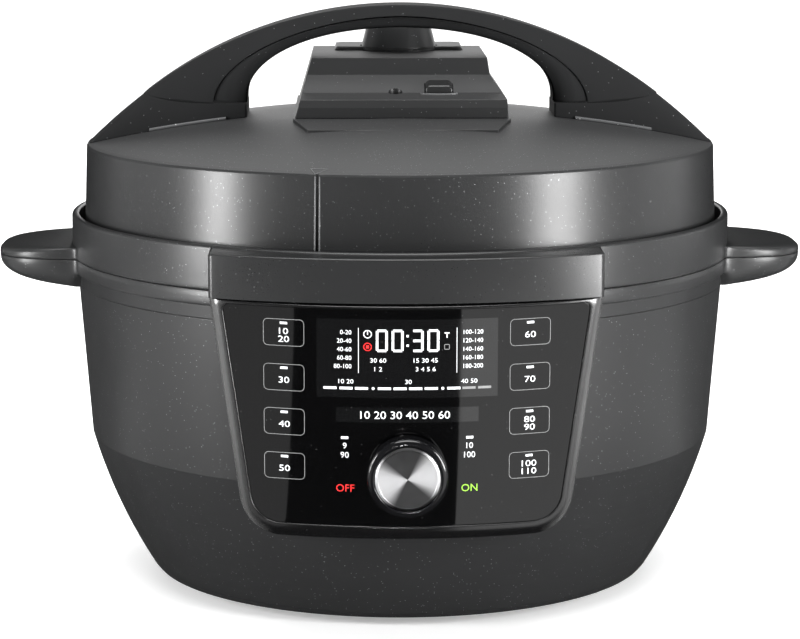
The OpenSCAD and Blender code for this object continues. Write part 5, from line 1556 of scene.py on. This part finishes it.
@dataclass
class Handle:
    """Arch handle: two feet, the broad cover and the grip inside it; sizes in millimetres.

    Args:
        colour: main colour.
        centre: height of the outer arc's centre.
        reach: radius of the outer arc at the front.
        fall: how much that radius shrinks for each millimetre to the back.
        depth: half-depth of the cover and the feet.
        foot: height of the feet's top at its inner end.
        seam: half-width, rise and exponent of the seam between cover and grip.
        hand: half-width, rise and exponent of the hand opening.
        end: direction of the cover's end from the arc's centre, in degrees.
        tip: direction of a foot's outer end from the arc's centre, in degrees.
        hook: how far the feet's top and the cover's ends curl.
        gap: gap between the cover and the grip.
        lift: how much higher the hand opening starts than the feet's top.
        edge: radius of the lid's edge, which the feet's outer ends follow.
    """

    colour: Colour = GREY
    centre: float = 81.7
    reach: float = 220.0
    fall: float = 0.015
    depth: float = 20.0
    foot: float = 250.9
    seam: tuple[float, float, float] = (97.5, 44.9, 1.85)
    hand: tuple[float, float, float] = (80.3, 36.8, 2.1)
    end: float = 52.5
    tip: float = 42.35
    hook: float = 5.3
    gap: float = 0.08
    lift: float = 1.9
    edge: float = 164.4

    def vault(self, size: tuple[float, float, float], base: float) -> Array:
        """Half superellipse over a base height, from the right foot to the left one."""
        x, z = quarter(*size, 60)
        right = np.stack([x, base + z], 1)
        return joined(right, right[-2::-1] * (-1.0, 1.0))

    def section(self, half: float, inner: float, outer: float) -> tuple[Array, Array, Array]:
        """Rounded section of a slab.

        Formula: each point is a share of the slab's thickness, a distance added to it, and a
        depth; the corners are quarter circles of the inner and the outer radius.

        Args:
            half: half-depth of the slab.
            inner: radius of the corners on the inner side.
            outer: radius of the corners on the outer side.

        Returns:
            Shares, distances and depths of the points, going round once.
        """
        q = arc((0.0, 0.0), 1.0, 0.0, 90.0, 6)
        near = np.column_stack([0 * q[:, 0], inner * (1 - q[:, 0]), -half + inner * (1 - q[:, 1])])
        far = np.column_stack([1 + 0 * q[:, 0], outer * (q[:, 1] - 1),
                               -half + outer * (1 - q[:, 0])])
        f = np.linspace(0.0, 1.0, 8)[1:-1]
        face = np.column_stack([f, inner * (1 - f) - outer * f, -half + 0 * f])
        front = np.concatenate([near, face, far])
        across = np.linspace(-half + outer, half - outer, 7)[1:-1]
        side = np.column_stack([1 + 0 * across, 0 * across, across])
        under = np.column_stack([0 * across, 0 * across, -across])
        loop = np.concatenate([front, side, front[::-1] * (1.0, 1.0, -1.0), under])
        return loop[:, 0], loop[:, 1], loop[:, 2]

    def slab(self, name: str, inner: Array, outer: Array, section: tuple[Array, Array, Array],
             fall: float, hook: float) -> bpy.types.Mesh:
        """Mesh of a slab between two curves that face the front.

        Formula: a point of the section lies on the straight line from the inner to the outer
        curve; the outer one draws in by the fall for each millimetre to the back, and the ends
        sag by hook (s^3 - s), fading out over the first 15% of the length.

        Args:
            name: name of the mesh.
            inner: points of the inner curve, across and upwards.
            outer: as many points of the outer curve.
            section: shares, distances and depths from section().
            fall: how much the outer curve draws in for each millimetre.
            hook: depth of the sag at the ends.

        Returns:
            The new mesh.
        """
        share, add, y = section
        gap = outer - inner
        thick = np.linalg.norm(gap, axis=1, keepdims=True)
        s = share + np.clip(add / thick, -0.4, 0.86)
        away = outer - (0.0, self.centre)
        away = away / np.linalg.norm(away, axis=1, keepdims=True)
        far = outer[:, None] - away[:, None] * (fall * (y + self.depth))[None, :, None]
        flat = inner[:, None] + s[..., None] * (far - inner[:, None])
        t = np.linspace(0.0, 1.0, len(inner))[:, None]
        fade = np.clip(1 - np.minimum(t, 1 - t) / 0.15, 0.0, None) ** 2
        block = np.stack([flat[..., 0], y + 0 * s, flat[..., 1] + hook * (s**3 - s) * fade], 2) * MM
        return Form().rod(block).mesh(name)

    def feet(self) -> tuple[bpy.types.Mesh, bpy.types.Mesh]:
        """Meshes of the two feet and of the fine ledges in front of them.

        Formula: a foot blends evenly from its bottom on the dome to its top, with its outer side
        bulged onto the arc. The ledge is a superellipse carried over the dome along the front.
        """
        share, add, y = self.section(self.depth, 1.2, 1.2)
        t = np.linspace(0.0, 1.0, 24)[:, None]
        ends = [self.reach * math.cos(math.radians(d)) for d in (self.tip, self.end)]
        low, high = ends[0] - self.hand[0] + 1.0, ends[1] - self.hand[0] - 0.6
        s = share + add / (low + (high - low) * t)
        xb = self.hand[0] + low * s - y**2 / (2 * self.edge) * s
        zb = dome(xb, y) + 0.15
        xt = self.hand[0] + high * s
        zt = self.foot - 0.15 + self.hook * np.clip((s - 0.31) / 0.69, 0.0, None) ** 3
        bulge, across, up = 0.73, 0.68, 0.73
        swell = bulge * s * 4 * t * (1 - t)
        pull = self.fall * (y + self.depth) * s
        x = xb * (1 - t) + xt * t + (swell - pull) * across
        z = zb * (1 - t) + zt * t + swell * up - pull * up * t
        form, bars = Form(), Form()
        a = np.linspace(0.13, 0.61, 24)[:, None]
        ring = oval(1.1, 0.85, 2.6, 5)
        lx = self.hand[0] + low * a + 0 * ring[:, 0]
        lz = dome(lx, self.depth) + 0.8 + ring[:, 1]
        for side in (1.0, -1.0):
            block = np.stack([side * x, y + 0 * x, z], 2) * MM
            form.rod(block)
            bar = np.stack([side * lx, -self.depth - 0.2 + ring[:, 0] + 0 * lx, lz], 2) * MM
            bars.rod(bar)
        return form.mesh("handle_feet_shaped"), bars.mesh("handle_ledges")

    def build(self) -> None:
        """Builds the handle's three parts and dresses its screws."""
        seam = self.vault(self.seam, self.foot)
        a = np.radians(np.linspace(self.end, 180 - self.end, 121))
        top = np.stack([self.reach * np.cos(a), self.centre + self.reach * np.sin(a)], 1)
        cover = self.slab("handle_cover_shaped", spaced(seam, 121) + (0.0, self.gap), top,
                          self.section(self.depth, 0.5, 1.0), self.fall, self.hook)
        hand = joined([(self.hand[0], self.foot)], self.vault(self.hand, self.foot + self.lift),
                      [(-self.hand[0], self.foot)])
        grip = self.slab("handle_grip_shaped", spaced(hand, 121), spaced(seam, 121),
                         self.section(self.depth - 1.0, 11.0, 0.6), 0.0, 0.0)
        feet, ledges = self.feet()
        # Painted highlight: the ledges are five times lighter than the handle.
        paint(keep(ledges, "lid", 35.0),
              Flecked("ledge_highlight_paint", shade(self.colour, 5.0), rough=0.4))
        # Painted shade: a negative top value darkens the upward faces of the cover, grip and feet.
        for mesh, node, slot, rough in ((cover, "handle_cover", "handle", 0.42),
                                        (grip, "handle_grip", "grip", 0.5),
                                        (feet, "handle_feet", "handle", 0.42)):
            piece = keep(mesh, "lid", 35.0)
            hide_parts(node)
            paint(piece, Flecked(f"{node}_plastic", shade(self.colour, 1.1), rough=rough,
                                 flecks=0.006, gloss=0.05, crown=-0.35))
        dress("handle_screws", Metal("screws_handle", STEEL))


@dataclass
class SteamRelease:
    """Steam cover with its step, vent, release button and lever; sizes in millimetres.

    Args:
        colour: main colour.
        step: half-width, front, back and height of the step round the vent.
        corner: radius of the step's corners, seen from above.
        lip: half-width and depth of the button's tray.
        shelf: height at which the tray lies.
        stem: length and radius of the button's stem.
    """

    colour: Colour = GREY
    step: tuple[float, float, float, float] = (34.6, 33.0, 71.6, 2.1)
    corner: float = 6.0
    lip: tuple[float, float] = (9.6, 3.2)
    shelf: float = 257.3
    stem: tuple[float, float] = (4.5, 2.45)

    def round_step(self) -> bpy.types.Object:
        """Raised step round the vent.

        Formula: rays leave the vent's axis at even angles; each meets a rounded rectangle, and
        the section between the vent's circle and that point has its outer top rounded by a
        quarter ellipse.
        """
        low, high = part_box("vent_cap")
        clear, sunk = 0.5, 5.0
        hole, centre = (high.x - low.x) / 2 / MM + clear, (high.y + low.y) / 2 / MM
        base = low.z / MM + sunk
        wide, front, back, tall = self.step
        side = wide - self.corner
        right = joined([(0.0, back)], arc((side, back - self.corner), self.corner, 90, 0, 12),
                       arc((side, front + self.corner), self.corner, 0, -90, 12), [(0.0, front)])
        edge = joined(right, right[-2:0:-1] * (-1.0, 1.0)) - (0.0, centre)
        edge = spaced(joined(edge, edge[:1]), 161)[:-1]
        far = np.linalg.norm(edge, axis=1, keepdims=True)
        unit = edge / far
        rim, (soft, drop) = np.maximum(far, hole + 0.6), (1.8, 2.6)
        t, u = quarter(soft, drop, 2.0, 7)
        rows = [(hole + 0 * far, 0.0), (hole + 0 * far, tall)]
        rows += [(np.maximum(rim - soft + d, hole + 0.1), tall - drop + h)
                 for d, h in zip(t[::-1], u[::-1])]
        rows += [(rim, 0.0)]
        block = levels([(unit * r + (0.0, centre), base + z) for r, z in rows])
        mesh = Form().grid(block, rows=True, columns=True).mesh("cover_step")
        return keep(mesh, "lid", 35.0)

    def tray(self) -> bpy.types.Object:
        """Fine lip in front of the button's slot, a half ellipse bent along the shelf's edge.

        Formula: a small superellipse carried along (x, depth sin), lower in the middle.
        """
        low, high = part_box("release_button")
        x0, y0 = (low.x + high.x) / 2 / MM, low.y / MM
        a = np.linspace(0.0, math.pi, 33)[:, None]
        ring = oval(0.75, 0.6, 2.4, 4)
        x = x0 + self.lip[0] * np.cos(a) + 0 * ring[:, 0]
        y = y0 - 0.6 - self.lip[1] * np.sin(a) + ring[:, 0]
        z = self.shelf - 0.3 * np.sin(a) + ring[:, 1]
        block = np.stack([x, y, z], 2) * MM
        form = Form().rod(block)
        return keep(form.mesh("button_tray"), "lid")

    def button(self) -> bpy.types.Object:
        """Release button with rounded upper corners and edges, on its round stem.

        Formula: the outline is a rectangle with quarter-circle upper corners; rows of it along
        the depth draw in by a quarter circle at the front and at the back, and the height over
        the base shrinks evenly to the front. The stem is a circle carried straight down.
        """
        low, high = (np.array(v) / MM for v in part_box("release_button"))
        half, mid = (high[0] - low[0]) / 2, (high[0] + low[0]) / 2
        bend, soft, base = 2.6, 0.9, low[2] + self.stem[0]
        slope, run = 2.2, 9.0
        right = joined([(half, base)], arc((half - bend, high[2] - bend), bend, 0.0, 90.0, 10))
        loop = spaced(joined(right, right[::-1] * (-1.0, 1.0)), 90)
        heart = np.array([0.0, (base + high[2]) / 2])
        q, w = quarter(soft, soft, 2.0, 5)
        steps = [(low[1] + soft - d, soft - e) for d, e in zip(w[::-1], q[::-1])]
        steps = steps + [(low[1] + high[1] - y, e) for y, e in steps[::-1]]
        rows = []
        for y, e in steps:
            flat = heart + (loop - heart) * (1 - e / np.abs(loop - heart).max(0))
            drop = slope * np.clip((high[1] - 1.0 - y) / run, 0.0, 1.0)
            lift = flat[:, 1] - drop * np.clip((flat[:, 1] - base) / (high[2] - base), 0.0, None)
            rows.append(np.column_stack([mid + flat[:, 0], np.full(len(flat), y), lift]))
        block = np.stack(rows) * MM
        form = Form().rod(block)
        ring = arc((mid, (low[1] + high[1]) / 2), self.stem[1], 0.0, 360.0, 32)[:-1]
        form.rod(levels([(ring, low[2]), (ring, base + 0.5)]))
        piece = keep(form.mesh("button_rounded"), "button", 40.0)
        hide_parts("release_button")
        return piece

    def build(self) -> None:
        """Builds the step, the button and its tray, and dresses the steam release."""
        # Painted light makes the upward faces of the cover and the step lighter.
        dress("steam_cover", Flecked("cover_plastic", self.colour, flecks=0.008, crown=0.5))
        paint(self.round_step(), Flecked("step_plastic", self.colour, flecks=0.01, crown=0.9))
        # Painted highlight: the tray's lip is six times lighter than the cover.
        paint(self.tray(), Flecked("tray_highlight_paint", shade(self.colour, 6.0), rough=0.3, flecks=0.01))
        dress("vent_cap", Flecked("vent_plastic", shade(self.colour, 2.2), rough=0.4, flecks=0.01))
        dress("vent_pipe", Metal("pipe_brass", (0.7, 0.6, 0.4), lay=Lay.ALONG_Z))
        dress("vent_nut", Metal("nut_steel", STEEL))
        dress("valve_weight", Grained("valve_black", (0.03, 0.03, 0.032), rough=0.45))
        paint(self.button(), Grained("button_grey", shade(self.colour, 0.9), rough=0.3,
                                     pitch=0.8 * MM))
        dress("button_spring", Metal("spring_button", (0.5, 0.5, 0.5)))
        dress("release_lever", Grained("lever_black", (0.05, 0.05, 0.052), rough=0.5))


def main() -> None:
    """Builds the studio and every sub-assembly in order."""
    logging.basicConfig(level=logging.INFO, format="%(name)s: %(message)s")
    Studio().build()
    for part in (Housing(), ControlPanel(), Dial(), Works(), PotAndSeal(), Lid(), Handle(),
                 SteamRelease()):
        LOG.info("building %s", type(part).__name__)
        part.build()


if __name__ == "__main__":
    main()
